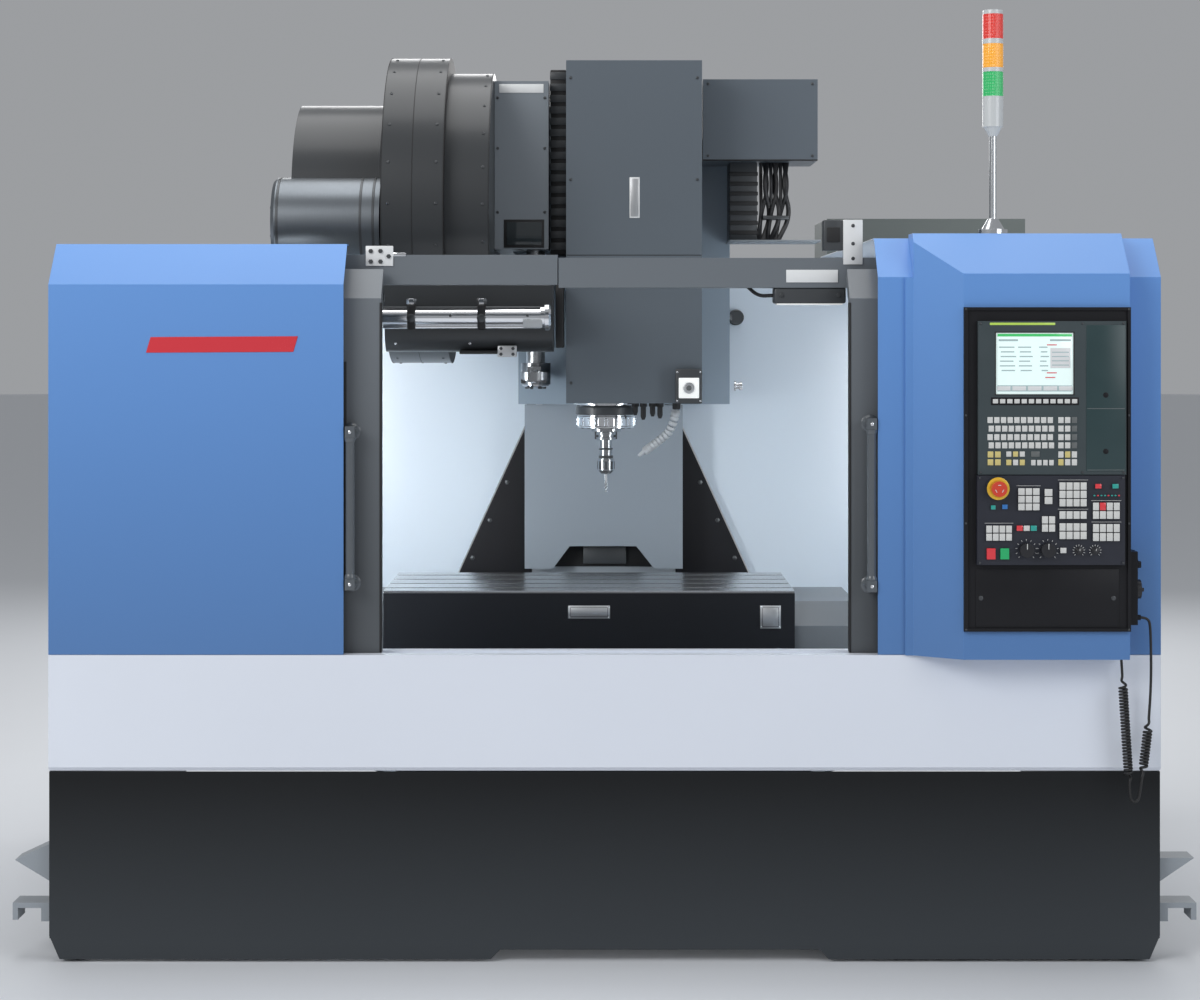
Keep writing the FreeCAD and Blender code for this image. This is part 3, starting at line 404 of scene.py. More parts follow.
class Piece:
    """One object made up of bevelled blocks, turned parts, tubes and cut plates, in the row frame.

    Places are in metres, and every size of a part is in millimetres.
    """

    def __init__(self, name):
        self.name = name
        self.form = bmesh.new()
        self.used = []

    def add(self, part, finish):
        if finish not in self.used:
            self.used.append(finish)
        for face in part.faces:
            face.material_index = self.used.index(finish)
            face.smooth = True
        bmesh.ops.recalc_face_normals(part, faces=part.faces)
        mesh = bpy.data.meshes.new("part")
        part.to_mesh(mesh)
        part.free()
        self.form.from_mesh(mesh)
        bpy.data.meshes.remove(mesh)

    def block(self, low, high, finish, edge=0.8, steps=2, turn=None):
        """A block with rounded edges between two corners; turn is a matrix about its middle."""
        low, high = Vector(map(min, low, high)), Vector(map(max, low, high))
        size, middle = high - low, (low + high) / 2
        part = bmesh.new()
        bmesh.ops.create_cube(part, size=1.0)
        bmesh.ops.scale(part, vec=size, verts=part.verts)
        width = min(edge * MM, 0.42 * min(size))
        bmesh.ops.bevel(part, geom=part.edges[:], offset=width, segments=steps, profile=0.5, affect="EDGES")
        if turn is not None:
            bmesh.ops.transform(part, matrix=turn.to_4x4(), verts=part.verts)
        bmesh.ops.translate(part, vec=middle, verts=part.verts)
        self.add(part, finish)

    def slab(self, corner, low, high, finish, edge=0.8, steps=2):
        """A block whose two corners are steps from a corner of the machine."""
        self.block(corner + mm(*low), corner + mm(*high), finish, edge, steps)

    def peg(self, spot, half, finish, edge, turn=None):
        """A small block centred on a spot, given by its half sizes."""
        self.block(spot - mm(*half), spot + mm(*half), finish, edge, 1, turn)

    def raised(self, front, across, up, wide, tall, out, finish, sink=0.5, edge=0.6):
        """A block standing out from a front, centred on a point of it."""
        low = front.at(across - wide / 2, up - tall / 2, -sink)
        self.block(low, front.at(across + wide / 2, up + tall / 2, out), finish, edge)

    def turned(self, start, axis, profile, finish, sides=36):
        """A part turned on a lathe: the profile's pairs are its radius and the distance along its axis."""
        lean = Vector(axis).to_track_quat("Z", "Y").to_matrix()
        part = bmesh.new()
        rings = []
        for radius, along in profile:
            ring = []
            for number in range(sides if radius else 1):
                angle = 2 * math.pi * number / sides
                spot = mm(radius * math.cos(angle), radius * math.sin(angle), along)
                ring.append(part.verts.new(Vector(start) + lean @ spot))
            rings.append(ring)
        for one, two in zip(rings, rings[1:]):
            for number in range(sides):
                places = ((one, number), (one, number + 1), (two, number + 1), (two, number))
                part.faces.new(list(dict.fromkeys(ring[place % len(ring)] for ring, place in places)))
        for ring in (rings[0], rings[-1]):
            if len(ring) > 1:
                part.faces.new(ring)
        self.add(part, finish)

    def tube(self, points, radius, finish, sides=12, rounds=6):
        """A bent tube along points, with its corners rounded."""
        line = smooth_line([Vector(p) for p in points], rounds)
        part = bmesh.new()
        rings = []
        side = None
        for number, spot in enumerate(line):
            ahead = (line[min(number + 1, len(line) - 1)] - line[max(number - 1, 0)]).normalized()
            side = ahead.orthogonal() if side is None else side - ahead * side.dot(ahead)
            side.normalize()
            steps = round_about(sides, side, ahead.cross(side))
            rings.append([part.verts.new(spot + out * radius * MM) for _, out in steps])
        for one, two in zip(rings, rings[1:]):
            for step in range(sides):
                after = (step + 1) % sides
                part.faces.new((one[step], one[after], two[after], two[step]))
        part.faces.new(rings[0])
        part.faces.new(rings[-1])
        self.add(part, finish)

    def plate(self, outline, thick, finish, edge=0.4):
        """A flat plate with this outline of places, which thickens along a vector."""
        part = bmesh.new()
        face = part.faces.new([part.verts.new(p) for p in outline])
        made = bmesh.ops.extrude_face_region(part, geom=[face])
        moved = [item for item in made["geom"] if isinstance(item, bmesh.types.BMVert)]
        bmesh.ops.translate(part, vec=thick, verts=moved)
        if edge:
            edges = part.edges[:]
            bmesh.ops.bevel(part, geom=edges, offset=edge * MM, segments=1, profile=0.5, affect="EDGES")
        self.add(part, finish)

    def screw(self, spot, axis, radius=4.5, finish="dark_steel"):
        """A button-head screw with a round socket."""
        profile = [(1, 0), (1, 0.15), (0.85, 0.42), (0.45, 0.58), (0.42, 0.3), (0, 0.3)]
        self.turned(spot, axis, [(out * radius, along * radius) for out, along in profile], finish, 18)

    def nut(self, spot, axis, across, tall, finish="dark_steel"):
        """A hexagon nut or bolt head."""
        corner = across / math.sqrt(3)
        self.turned(spot, axis, stud(corner, tall * 0.85, corner * 0.88, tall), finish, 6)

    def riding(self, body):
        mesh = bpy.data.meshes.new(self.name)
        self.form.to_mesh(mesh)
        self.form.free()
        mesh.set_sharp_from_angle(angle=math.radians(34))
        for finish in self.used:
            mesh.materials.append(finishes[finish])
        made = bpy.data.objects.new(self.name, mesh)
        scene.collection.objects.link(made)
        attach(made, body)


def smooth_line(points, rounds):
    """The points with their corners cut again and again into smooth bends."""
    for _ in range(rounds if len(points) > 2 else 0):
        cut = [points[0]]
        for one, two in zip(points, points[1:]):
            shares = (0.25, 0.75) if (two - one).length > 4 * MM else (0.5,)
            cut += [one.lerp(two, share) for share in shares]
        points = cut + [points[-1]]
    return points


def key_bank(piece, front, across, up, columns, rows, finish="key_white", thick=1.6, gap=2.4, odd=()):
    """Rows of keys that fill a field of a panel; odd gives another finish to the key at a column and row."""
    (left, right), (low, high) = across, up
    wide, tall = (right - left) / columns, (high - low) / rows
    others = {(column, row): other for column, row, other in odd}
    for row in range(rows):
        for column in range(columns):
            middle = (left + wide * (column + 0.5), low + tall * (row + 0.5))
            piece.raised(front, *middle, wide - gap, tall - gap, thick, others.get((column, row), finish))


# ---------------------------------------------------------------- covers


def cover_badge():
    """The slanted bar on the left cover, left blank."""
    front = Front("left_cover")
    outline = [(256, 791), (268, 832), (654, 834), (642, 793)]
    badge = Piece("cover_badge")
    badge.plate([front.at(x, up, 0.2) for x, up in outline], FRONT * 1.4 * MM, "badge_red")
    badge.riding("frame")


def door_gaskets():
    """Rubber lips on the doors' leading edges, and the handles' flared feet."""
    for side, word in ((1, "left"), (-1, "right")):
        low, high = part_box(f"door_{word}")
        lip = Piece(f"door_lip_{word}")
        corner = Vector((high.x if side > 0 else low.x, low.y, low.z))
        tall = (high.z - low.z) / MM
        lip.slab(corner, (-4 * side, -1.5, 12), (1.3 * side, 30, tall - 90), "gasket_black", 1)
        lip.riding(f"{word}_door")
        bar_low, bar_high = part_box(f"handle_{word}")
        middle = (bar_low.x + bar_high.x) / 2
        feet = Piece(f"handle_feet_{word}")
        for up, end in ((-1, bar_low.z + 15 * MM), (1, bar_high.z - 15 * MM)):
            feet.turned((middle, bar_high.y - 0.2 * MM, end), FRONT,
                        [(0, 0), (24, 0), (24, 3), (19, 6), (15, 14), (0, 14)], "handle_black", 32)
            feet.screw((middle, bar_low.y + 0.1 * MM, end), FRONT, 5, "bright_steel")
            feet.turned((middle, bar_low.y + 13 * MM, end - up * 15 * MM), DOWN * up, stud(15, 5, 12.6, 12),
                        "handle_black", 32)
        feet.riding(f"{word}_door")


def door_windows():
    """The tinted windows in the doors, each set in a rubber frame on both faces."""
    rim, lap = 14 * MM, 4 * MM
    for word in ("left", "right"):
        low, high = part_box(f"door_{word}")
        left, right = low.x + 105 * MM, high.x - 105 * MM
        foot, head = low.z + 190 * MM, high.z - 260 * MM
        runs = (
            (left - rim, right + rim, foot - rim, foot + lap),
            (left - rim, right + rim, head - lap, head + rim),
            (left - rim, left + lap, foot, head),
            (right - lap, right + rim, foot, head),
        )
        for face, y, out in (("outside", low.y, FRONT), ("inside", low.y + 32 * MM, REAR)):
            window = Piece(f"door_window_{word}_{face}")
            base = Vector((0, y, 0)) - out * 0.5 * MM
            window.block(base + Vector((left, 0, foot)), base + Vector((right, 0, head)) + out * 2.5 * MM,
                         "window_tint")
            for start, end, low_edge, high_edge in runs:
                window.block(base + Vector((start, 0, low_edge)),
                             base + Vector((end, 0, high_edge)) + out * 4 * MM, "gasket_black", 1.6)
            window.riding(f"{word}_door")


def lintel_fittings():
    """What is bolted to the front beams: the long work lamp, blank plates and the corner bracket."""
    low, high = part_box("door_lintels")
    foot = Vector(((low.x + high.x) / 2, low.y, low.z))
    top = Vector((foot.x, low.y, high.z))
    lamp = Piece("work_lamp")
    lamp.slab(foot, (455, 4, -42), (648, 74, 1), "roof_dark", 6, 3)
    lamp.slab(foot, (463, 12, -46), (640, 66, -41), "lamp_glass", 2)
    for across in (475, 628):
        lamp.nut(foot + mm(across, 4, -20), FRONT, 10, 5)
    lead = [(455, 40, -20), (415, 50, -22), (385, 60, 6)]
    lamp.tube([foot + mm(*spot) for spot in lead], 5, "black_cable")
    lamp.riding("frame")

    plates = Piece("beam_plates")
    plates.slab(foot, (487, -3, 14), (626, 1, 48), "label_white", 1.2)
    plates.slab(top, (640, -4, -26), (692, 10, 94), "label_white", 1.5)
    plates.slab(top, (588, 2, 12), (641, 60, 94), "roof_dark", 3)
    plates.slab(top, (596, -2, 34), (632, 4, 74), "gasket_black", 4)
    for up in (-10, 30, 78):
        plates.screw(top + mm(666, -3.9, up), FRONT, 5)
    plates.riding("frame")

    bracket = Piece("corner_bracket")
    bracket.slab(top, (-640, -5, -30), (-566, 1, 24), "label_white", 2)
    bracket.slab(top, (-640, -4, 18), (-596, 44, 24), "label_white", 1.5)
    bracket.slab(top, (-567, -3, -4), (-532, 1, 6), "bright_steel", 1.5)
    for across, up in ((-626, 10), (-626, -18), (-600, 10), (-600, -18), (-578, -4)):
        bracket.nut(top + mm(across, -4.8, up), FRONT, 11, 5)
    bracket.riding("frame")


# ---------------------------------------------------------------- head, spindle and table


def head_fittings():
    """The blank upright label, the round-eyed lamp and the hose fitting on the head, with a dark slatted
    strip beside its cover as painted shade.
    """
    front = Front("head_cover")
    label = Piece("head_label")
    label.raised(front, 202, 607, 30, 120, 1.0, "label_white")
    label.raised(front, 202, 607, 24, 112, 1.3, "plate_silver")
    label.riding("head")

    seams = Piece("head_cover_screws")
    for up in (60, 360, 660, 960):
        for across in (14, front.width - 14):
            if not (up == 60 and across > 300):
                seams.screw(front.at(across, up), FRONT)
    seams.block(front.at(1.5, 436, -0.4), front.at(front.width - 1.5, 438.5, 0.4), "gasket_black", 0.3)
    seams.riding("head")

    lamp = Piece("head_lamp")
    lamp.raised(front, 361, 51, 79, 102, 34, "roof_dark", 1, 5)
    lamp.raised(front, 361, 46, 60, 60, 37, "lamp_glass", 1, 2.5)
    eye = front.at(361, 46, 36.8)
    lamp.turned(eye, FRONT, [(0, 0), (17, 0), (17, 2.5), (13, 3.5), (12, 1.5), (0, 1.2)], "plate_silver", 32)
    lamp.turned(eye, FRONT, [(0, 0.8), (9, 0.8), (6, 2.6), (0, 3.2)], "key_grey", 24)
    for across in (327, 395):
        for up in (93, 8):
            lamp.screw(front.at(across, up, 33.8), FRONT, 3, "bright_steel")
    lamp.riding("head")

    low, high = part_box("head_casting")
    fitting = Piece("hose_fitting")
    fitting.turned((high.x - 0.5 * MM, low.y + 180 * MM, low.z + 63 * MM), RIGHT,
                   [(0, 0), (15, 0), (15, 5), (10, 6), (10, 14), (13, 15), (13, 24), (7, 26), (0, 26)],
                   "bright_steel", 24)
    fitting.riding("head")

    # Painted shade: a dark slatted strip beside the head cover, filling the gap there with shade.
    gap_shade = Piece("head_gap_shade_strip")
    gap_shade.slab(front.low, (-49, 120, 442), (-1, 320, front.height - 15), "gasket_black", 4)
    for number in range(16):
        up = 457 + 34 * number
        gap_shade.slab(front.low, (-50, 117, up), (-1, 121, up + 22), "roof_dark", 2)
    gap_shade.riding("head")


def spindle_nose():
    """Screws, the bright clamping ring and the coolant nozzles round the spindle."""
    low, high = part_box("spindle_housing")
    middle = (low + high) / 2
    foot = Vector((middle.x, middle.y, low.z))
    ring = Piece("nose_ring")
    ring.turned(foot + UP * 4 * MM, UP, [(86, 0), (88.5, 2), (88.5, 30), (86, 32)], "bright_steel", 72)
    ring.turned(foot + UP * 38 * MM, UP, [(86, 0), (92, 3), (92, 24), (86, 30)], "roof_dark", 72)
    for _, out in round_about(12, RIGHT, REAR, 0.5):
        ring.screw(foot + out * 72 * MM, DOWN, 6)
    for angle, out in round_about(20, RIGHT, REAR):
        spot = foot + out * 88 * MM + UP * 18 * MM
        ring.peg(spot, (2.4, 5, 12), "bright_steel", 1, Matrix.Rotation(angle, 3, "Z"))
    ring.riding("head")

    nozzles = Piece("coolant_nozzles")
    top = Vector((middle.x, middle.y, high.z))
    for across, drop in ((88, 30), (112, 44), (140, 34), (162, 40)):
        stem = [(0, -8), (11, -8), (11, 14), (8, 16), (8, drop), (4.5, drop + 10), (0, drop + 10)]
        nozzles.turned(top + mm(across, -70, -8), DOWN, stem, "gasket_black", 20)
    start, end, bulge = top + mm(211, -76, -30), foot + mm(122, -60, -66), mm(16, 0, -22)
    route = smooth_line([start, start.lerp(end, 0.35) + bulge, start.lerp(end, 0.7) + bulge * 0.5, end], 3)
    for one, two in zip(route[::2], route[2::2]):
        knuckle = [(0, 0), (13, 2), (13, 10), (9, 14)]
        nozzles.turned(one, (two - one).normalized(), knuckle, "nozzle_grey", 20)
    tip = [(0, -4), (10, -4), (8, 6), (4.5, 30), (0, 30)]
    nozzles.turned(end, (end - route[-3]).normalized(), tip, "nozzle_grey", 20)
    nozzles.tube([start + UP * 44 * MM, start + UP * 20 * MM, start], 12, "gasket_black")
    nozzles.riding("head")


def cutter_details():
    """Drive keys, the collet nut's slots and the cutter's flutes on the fitted tool."""
    low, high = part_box("tool_holder")
    middle = (low + high) / 2
    face = Vector((middle.x, middle.y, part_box("spindle_shaft")[0].z))
    tool = Piece("cutter_details")
    nut_foot = face - UP * 118 * MM
    for angle, out in round_about(8, RIGHT, REAR):
        spot = nut_foot + out * 25 * MM + UP * 15 * MM
        tool.peg(spot, (1.2, 4, 12), "roof_dark", 0.8, Matrix.Rotation(angle, 3, "Z"))
    tool.turned(nut_foot + UP * 36 * MM, UP, [(20, 0), (22, 1), (22, 8), (20, 9)], "roof_dark", 40)
    tool.turned(nut_foot + UP * 62 * MM, UP, [(20, 0), (21.5, 1), (21.5, 5), (20, 6)], "dark_steel", 40)
    for side in (-1, 1):
        tool.slab(face + mm(side * 29, 0, -12), (-5, -8, -12), (5, 8, 11), "dark_steel", 1.2)
    for flute in (0, 1):
        for number in range(26):
            share = number / 26
            angle = math.pi * flute + share * 2.5 * math.pi
            reach = 1.6 + 4.3 * share
            spot = Vector((middle.x, middle.y, low.z))
            spot += mm(math.cos(angle) * reach, math.sin(angle) * reach, 2 + share * 30)
            tool.peg(spot, (1, 1, 1.2), "bright_steel", 0.3)
    tool.riding("spindle")


def side_box_gear():
    """The motor, its cables and their shelf under the box beside the head."""
    front = Front("head_side_box")
    gear = Piece("side_box_gear")
    shelf = front.low + mm(0, 40, -242)
    gear.slab(shelf, (92, 0, -3), (372, 220, 3), "panel_grey", 1.5)
    gear.slab(shelf, (95, 40, 0), (180, 190, 243), "roof_dark", 5)
    for number in range(7):
        up = 20 + 30 * number
        gear.slab(shelf, (93, 36, up), (182, 41, up + 12), "gasket_black", 1.5)
    for number in range(9):
        across = 192 + 10 * number
        aside, back = 14 * math.sin(number * 2.1), 18 * math.cos(number * 1.3)
        hang = [(across, 60, 244), (across + aside, 40 + back, 162), (across - aside, 50 - back, 80),
                (across - 12 - 2 * number, 60, 1)]
        gear.tube([shelf + mm(*spot) for spot in hang], 5.5 + number % 3, "black_cable", 10, 4)
    gear.slab(shelf, (196, 20, 66), (276, 90, 78), "dark_steel", 2)
    gear.riding("head")
    screws = Piece("side_box_screws")
    for across in (26, front.width - 16):
        for up in (14, front.height - 14):
            screws.screw(front.at(across, up), FRONT)
    screws.block(front.at(10, -0.5, -20), front.at(front.width, 3, 1.2), "gasket_black", 0.6)
    screws.riding("head")


def guard_details():
    """Bolts down the legs' slanted edges, the wiper box in the guard's notch with a black sheet behind it as
    painted shade, and the wall's gauge.
    """
    low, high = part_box("leg_covers")
    guard_low, guard_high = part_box("column_shield")
    middle = (low.x + high.x) / 2
    bolts = Piece("leg_bolts")
    for side in (-1, 1):
        for number in range(5):
            share = (number + 0.5) / 6
            reach = (high.x - middle) * (1 - share) + 254 * MM * share - 22 * MM
            z = low.z + (high.z - low.z) * share
            bolts.nut((middle + side * reach, low.y + 0.2 * MM, z), FRONT, 14, 3.2)
    bolts.riding("frame")
    foot = Vector(((guard_low.x + guard_high.x) / 2, low.y, guard_low.z))
    notch = Piece("way_wiper_box")
    notch.slab(foot, (-67, -22, 10), (73, 1, 66), "roof_dark", 3)
    notch.riding("frame")
    # Painted shade: a black sheet behind the notch, so the notch reads as dark shade.
    shade = Piece("notch_painted_shade")
    shade.slab(foot, (-190, -2, 0), (190, 1, 100), "gasket_black")
    shade.riding("frame")
    wall_low, wall_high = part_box("splash_walls")
    gauge = Piece("wall_gauge")
    spot = Vector(((wall_low.x + wall_high.x) / 2, wall_high.y, wall_high.z)) + mm(436, -3, -178)
    gauge.turned(spot, FRONT, [(0, 0), (26, 0), (26, 16), (22, 20), (20, 18), (0, 18)], "roof_dark", 32)
    gauge.slab(spot, (-42, -26, -10), (-14, 0, 10), "dark_steel", 3)
    gauge.riding("frame")


def table_plates():
    """Two blank riveted plates on the table's front."""
    front = Front("table_apron")
    plates = Piece("table_plates")
    for left, right, foot, head in ((539, 661, 178, 216), (1099, 1159, 149, 216)):
        middle, up, wide, tall = (left + right) / 2, (foot + head) / 2, right - left, head - foot
        plates.raised(front, middle, up, wide, tall, 1.2, "plate_silver")
        plates.raised(front, middle, up, wide - 12, tall - 10, 1.6, "dark_steel")
        plates.raised(front, middle, up, wide - 15, tall - 13, 1.8, "plate_silver")
        for across in (left + 4, right - 4):
            for level in (foot + 4, head - 4):
                plates.screw(front.at(across, level, 1.0), FRONT, 2, "bright_steel")
    plates.riding("table")


# ---------------------------------------------------------------- tool magazine


def magazine_fittings():
    """The swing cylinder, its clamps and end block, and the dark case behind it."""
    arm_low, arm_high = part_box("arm_shaft")
    beam_low, beam_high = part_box("door_lintels")
    start = Vector(((arm_low.x + arm_high.x) / 2, beam_high.y, beam_low.z)) + mm(-412, 205, -77)
    cylinder = Piece("swing_cylinder")
    barrel = [(0, 0), (24, 0), (24, 440), (31, 441), (31, 452), (38, 453), (38, 464), (30, 470), (0, 470)]
    cylinder.turned(start, RIGHT, barrel, "bright_steel", 48)
    cylinder.turned(start + mm(0, -4, -27), RIGHT, [(0, 0), (6, 0), (6, 440), (0, 440)], "bright_steel", 20)
    cylinder.turned(start + mm(0, 0, 25), RIGHT, [(0, 0), (5, 0), (5, 440), (0, 440)], "dark_steel", 20)
    for across in (80, 276):
        clamp = start + mm(across, 0, 0)
        cylinder.slab(clamp, (-11, -34, -36), (11, 44, 36), "gasket_black", 6, 3)
        cylinder.nut(clamp + mm(0, -8, 36), UP, 24, 16, "bright_steel")
        cylinder.turned(clamp + mm(0, -33, -3), FRONT, stud(12, 5, 9, 7), "dark_steel", 24)
    for across in (190, 405):
        cylinder.turned(start + mm(across, -23, 4), FRONT, [(0, 0), (4, 0), (4, 6), (0, 6)], "dark_steel", 16)
    cylinder.slab(start, (392, -30, -30), (446, 10, -6), "nozzle_grey", 3)
    cylinder.riding("frame")

    case = Piece("changer_case")
    outline = [(46, 96), (46, -30)]
    for number in range(9):
        angle = math.pi / 2 * number / 8
        outline.append((46 + 68 * (1 - math.cos(angle)), -30 - 68 * math.sin(angle)))
    outline += [(250, -98), (250, 96)]
    case.plate([start + mm(0, back, up) for back, up in outline], RIGHT * 474 * MM, "magazine_dark", 0)
    for across in (30, 240):
        case.screw(start + mm(across, 62, -74), Vector((0, -0.8, -0.6)), 4.5, "bright_steel")
    case.slab(start, (210, 60, -104), (330, 150, -94), "gasket_black", 2)
    case.slab(start, (318, 44, -112), (372, 70, -80), "plate_silver", 3)
    for across in (328, 362):
        for up in (-104, -88):
            case.nut(start + mm(across, 44.5, up), FRONT, 9, 4)
    case.slab(start, (477, 300, -88), (500, 470, 96), "gasket_black", 3)
    case.riding("frame")


def magazine_trim():
    """Seam bands and screws on the magazine's shell, plates on its bracket, and bands on its motor."""
    low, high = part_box("magazine_cover")
    centre = Vector((low.x, (low.y + high.y) / 2, (low.z + high.z) / 2))
    trim = Piece("magazine_trim")
    for across, radius in ((270, 455), (357, 455), (445, 455), (571, 410)):
        inner, outer = radius - 0.5, radius + 1.2
        band = [(inner, -1.2), (outer, -0.8), (outer, 0.8), (inner, 1.2)]
        trim.turned(centre + mm(across, 0, 0), RIGHT, band, "gasket_black", 128)
    for across, radius in ((290, 455), (425, 455), (555, 410)):
        for _, out in round_about(24, REAR, UP):
            trim.screw(centre + mm(across, 0, 0) + out * (radius - 0.2) * MM, out)
    trim.riding("frame")

    front = Front("magazine_bracket")
    plates = Piece("bracket_plates")
    plates.raised(front, 80, front.height - 22, 132, 26, 1.2, "label_white")
    plates.raised(front, 88, 46, 120, 84, 1.4, "gasket_black")
    plates.raised(front, 88, 46, 104, 68, 2.2, "window_tint")
    for across in (10, front.width - 80 if front.width > 300 else 150):
        for up in (110, 300, front.height - 50):
            plates.screw(front.at(across, up), FRONT)
    plates.riding("frame")

    low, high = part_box("magazine_motor")
    axis = Vector((low.x, (low.y + high.y) / 2, (low.z + high.z) / 2))
    radius = (high.z - low.z) / 2 / MM
    rings = Piece("motor_bands")
    band = [(radius - 0.5, 0), (radius + 1.5, 1), (radius + 1.5, 7), (radius - 0.5, 8)]
    for across in (14, 250, 286):
        rings.turned(axis + mm(across, 0, 0), RIGHT, band, "dark_steel", 96)
    for _, out in round_about(8, REAR, UP, 0.5):
        rings.screw(axis + out * 104 * MM + RIGHT * 0.2 * MM, LEFT, 6)
    rings.riding("frame")


def gripper_details():
    """Bolts, latch fingers and the hub's cap on the tool-change arm."""
    low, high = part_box("change_arm")
    middle = (low + high) / 2
    hub = Vector((middle.x, middle.y, low.z))
    arm = Piece("gripper_details")
    cap = [(0, -1), (40, -1), (40, 4), (30, 9), (12, 9), (12, 4), (0, 4)]
    arm.turned(hub, DOWN, cap, "bright_steel", 40)
    for _, out in round_about(6, RIGHT, REAR):
        arm.nut(hub + out * 26 * MM + DOWN * 8.5 * MM, DOWN, 10, 5)
    for side in (-1, 1):
        for number in range(3):
            spot = hub + mm(0, side * (70 + 34 * number), 10)
            arm.screw(spot, DOWN, 7, "bright_steel")
            for out in (LEFT, RIGHT):
                arm.screw(spot + (out * 20 + UP * 22) * MM, out, 6, "bright_steel")
        for turn in (-1, 1):
            finger = hub + mm(turn * 30, side * 236, 14)
            arm.slab(finger, (-7, -9, -6), (7, 9, 6), "dark_steel", 2)
    arm.riding("change_arm")


# ---------------------------------------------------------------- console


def display_face():
    """The screen with its blank fields, the soft keys, the keyboard and the plain side panel."""
    front = Front("display_unit")
    screen = Piece("display_screen")
    screen.raised(front, 145.5, 286, 201, 158, -3.0, "screen_pale", 4.2, 0.4)
    screen.raised(front, 146, 359, 192, 7, -2.7, "screen_header", 3.2)
    for across, wide in ((78, 50), (212, 54)):
        screen.raised(front, across, 346, wide, 5, -2.7, "screen_line", 3.2)
    for number in range(6):
        shift, cut = 2 * (number % 3), 5 * (number % 2)
        for across, wide in ((74, 40), (120, 34), (168, 22)):
            screen.raised(front, across + shift, 328 - 12 * number, wide - cut, 3.2, -2.7, "screen_line", 3.2)
    for across, level in ((190, 334), (190, 262), (186, 250)):
        screen.raised(front, across, level, 26, 3.2, -2.7, "screen_mark", 3.2)
    screen.raised(front, 212, 300, 52, 52, -2.75, "label_white", 3.2)
    for number in range(4):
        screen.raised(front, 212, 282 + 11 * number, 44, 2.6, -2.6, "screen_line", 3)
    screen.raised(front, 146, 222, 192, 16, -2.75, "screen_line", 3.2)
    for number in range(5):
        screen.raised(front, 66 + 40 * number, 222, 35, 11, -2.6, "label_white", 3)
    for across in (44.5, 246.5):
        screen.raised(front, across, 286, 3, 162, 0.6, "gasket_black", 4)
    for up in (205.5, 366.5):
        screen.raised(front, 145.5, up, 206, 3, 0.6, "gasket_black", 4)
    screen.riding("frame")

    trim = Piece("display_trim")
    trim.raised(front, 114, 388, 168, 6, 1.0, "strip_green")
    trim.raised(front, 146, 189, 226, 20, 1.0, "console_black")
    trim.raised(front, 328.5, 197, 101, 376, 1.2, "side_teal")
    for up in (170, 12):
        trim.raised(front, 328.5, up, 97, 1.6, 1.7, "key_grey")
    for across in (6, 268, 374):
        for up in (6, 389):
            trim.screw(front.at(across, up, 0.8), FRONT, 3)
    for up in (205, 60):
        trim.turned(front.at(328, up, 1.0), FRONT, stud(7, 1.2, 5.6, 1.8), "console_black", 24)
    trim.riding("frame")

    keys = Piece("display_keys")
    key_bank(keys, front, (35, 257), (181, 197), 12, 1, "key_white", 2.2, 5)
    for number, level in enumerate((131, 109, 87, 66)):
        shift = 3 * (number % 2)
        rise = (level, level + 19)
        key_bank(keys, front, (22 + shift, 194 + shift), rise, 10, 1, "key_white", 1.8, 3.6)
        key_bank(keys, front, (204, 256), rise, 3, 1, "key_white", 1.8, 3.6, [(2, 0, "key_grey")])
    for across, up, columns, rows, finish, gap, odd in (
        ((22, 60), (22, 62), 2, 2, "key_yellow", 4.5, ()),
        ((70, 122), (44, 62), 3, 1, "key_white", 4.5, [(1, 0, "key_yellow")]),
        ((70, 122), (22, 41), 3, 1, "key_yellow", 4.5, [(1, 0, "key_white")]),
        ((134, 196), (22, 40), 4, 1, "key_white", 4, ()),
        ((134, 160), (44, 62), 1, 1, "key_grey", 4, ()),
        ((204, 256), (22, 62), 3, 2, "key_white", 4, [(0, 0, "key_yellow"), (1, 1, "key_yellow")]),
    ):
        key_bank(keys, front, across, up, columns, rows, finish, 1.8, gap, odd)
    keys.riding("frame")


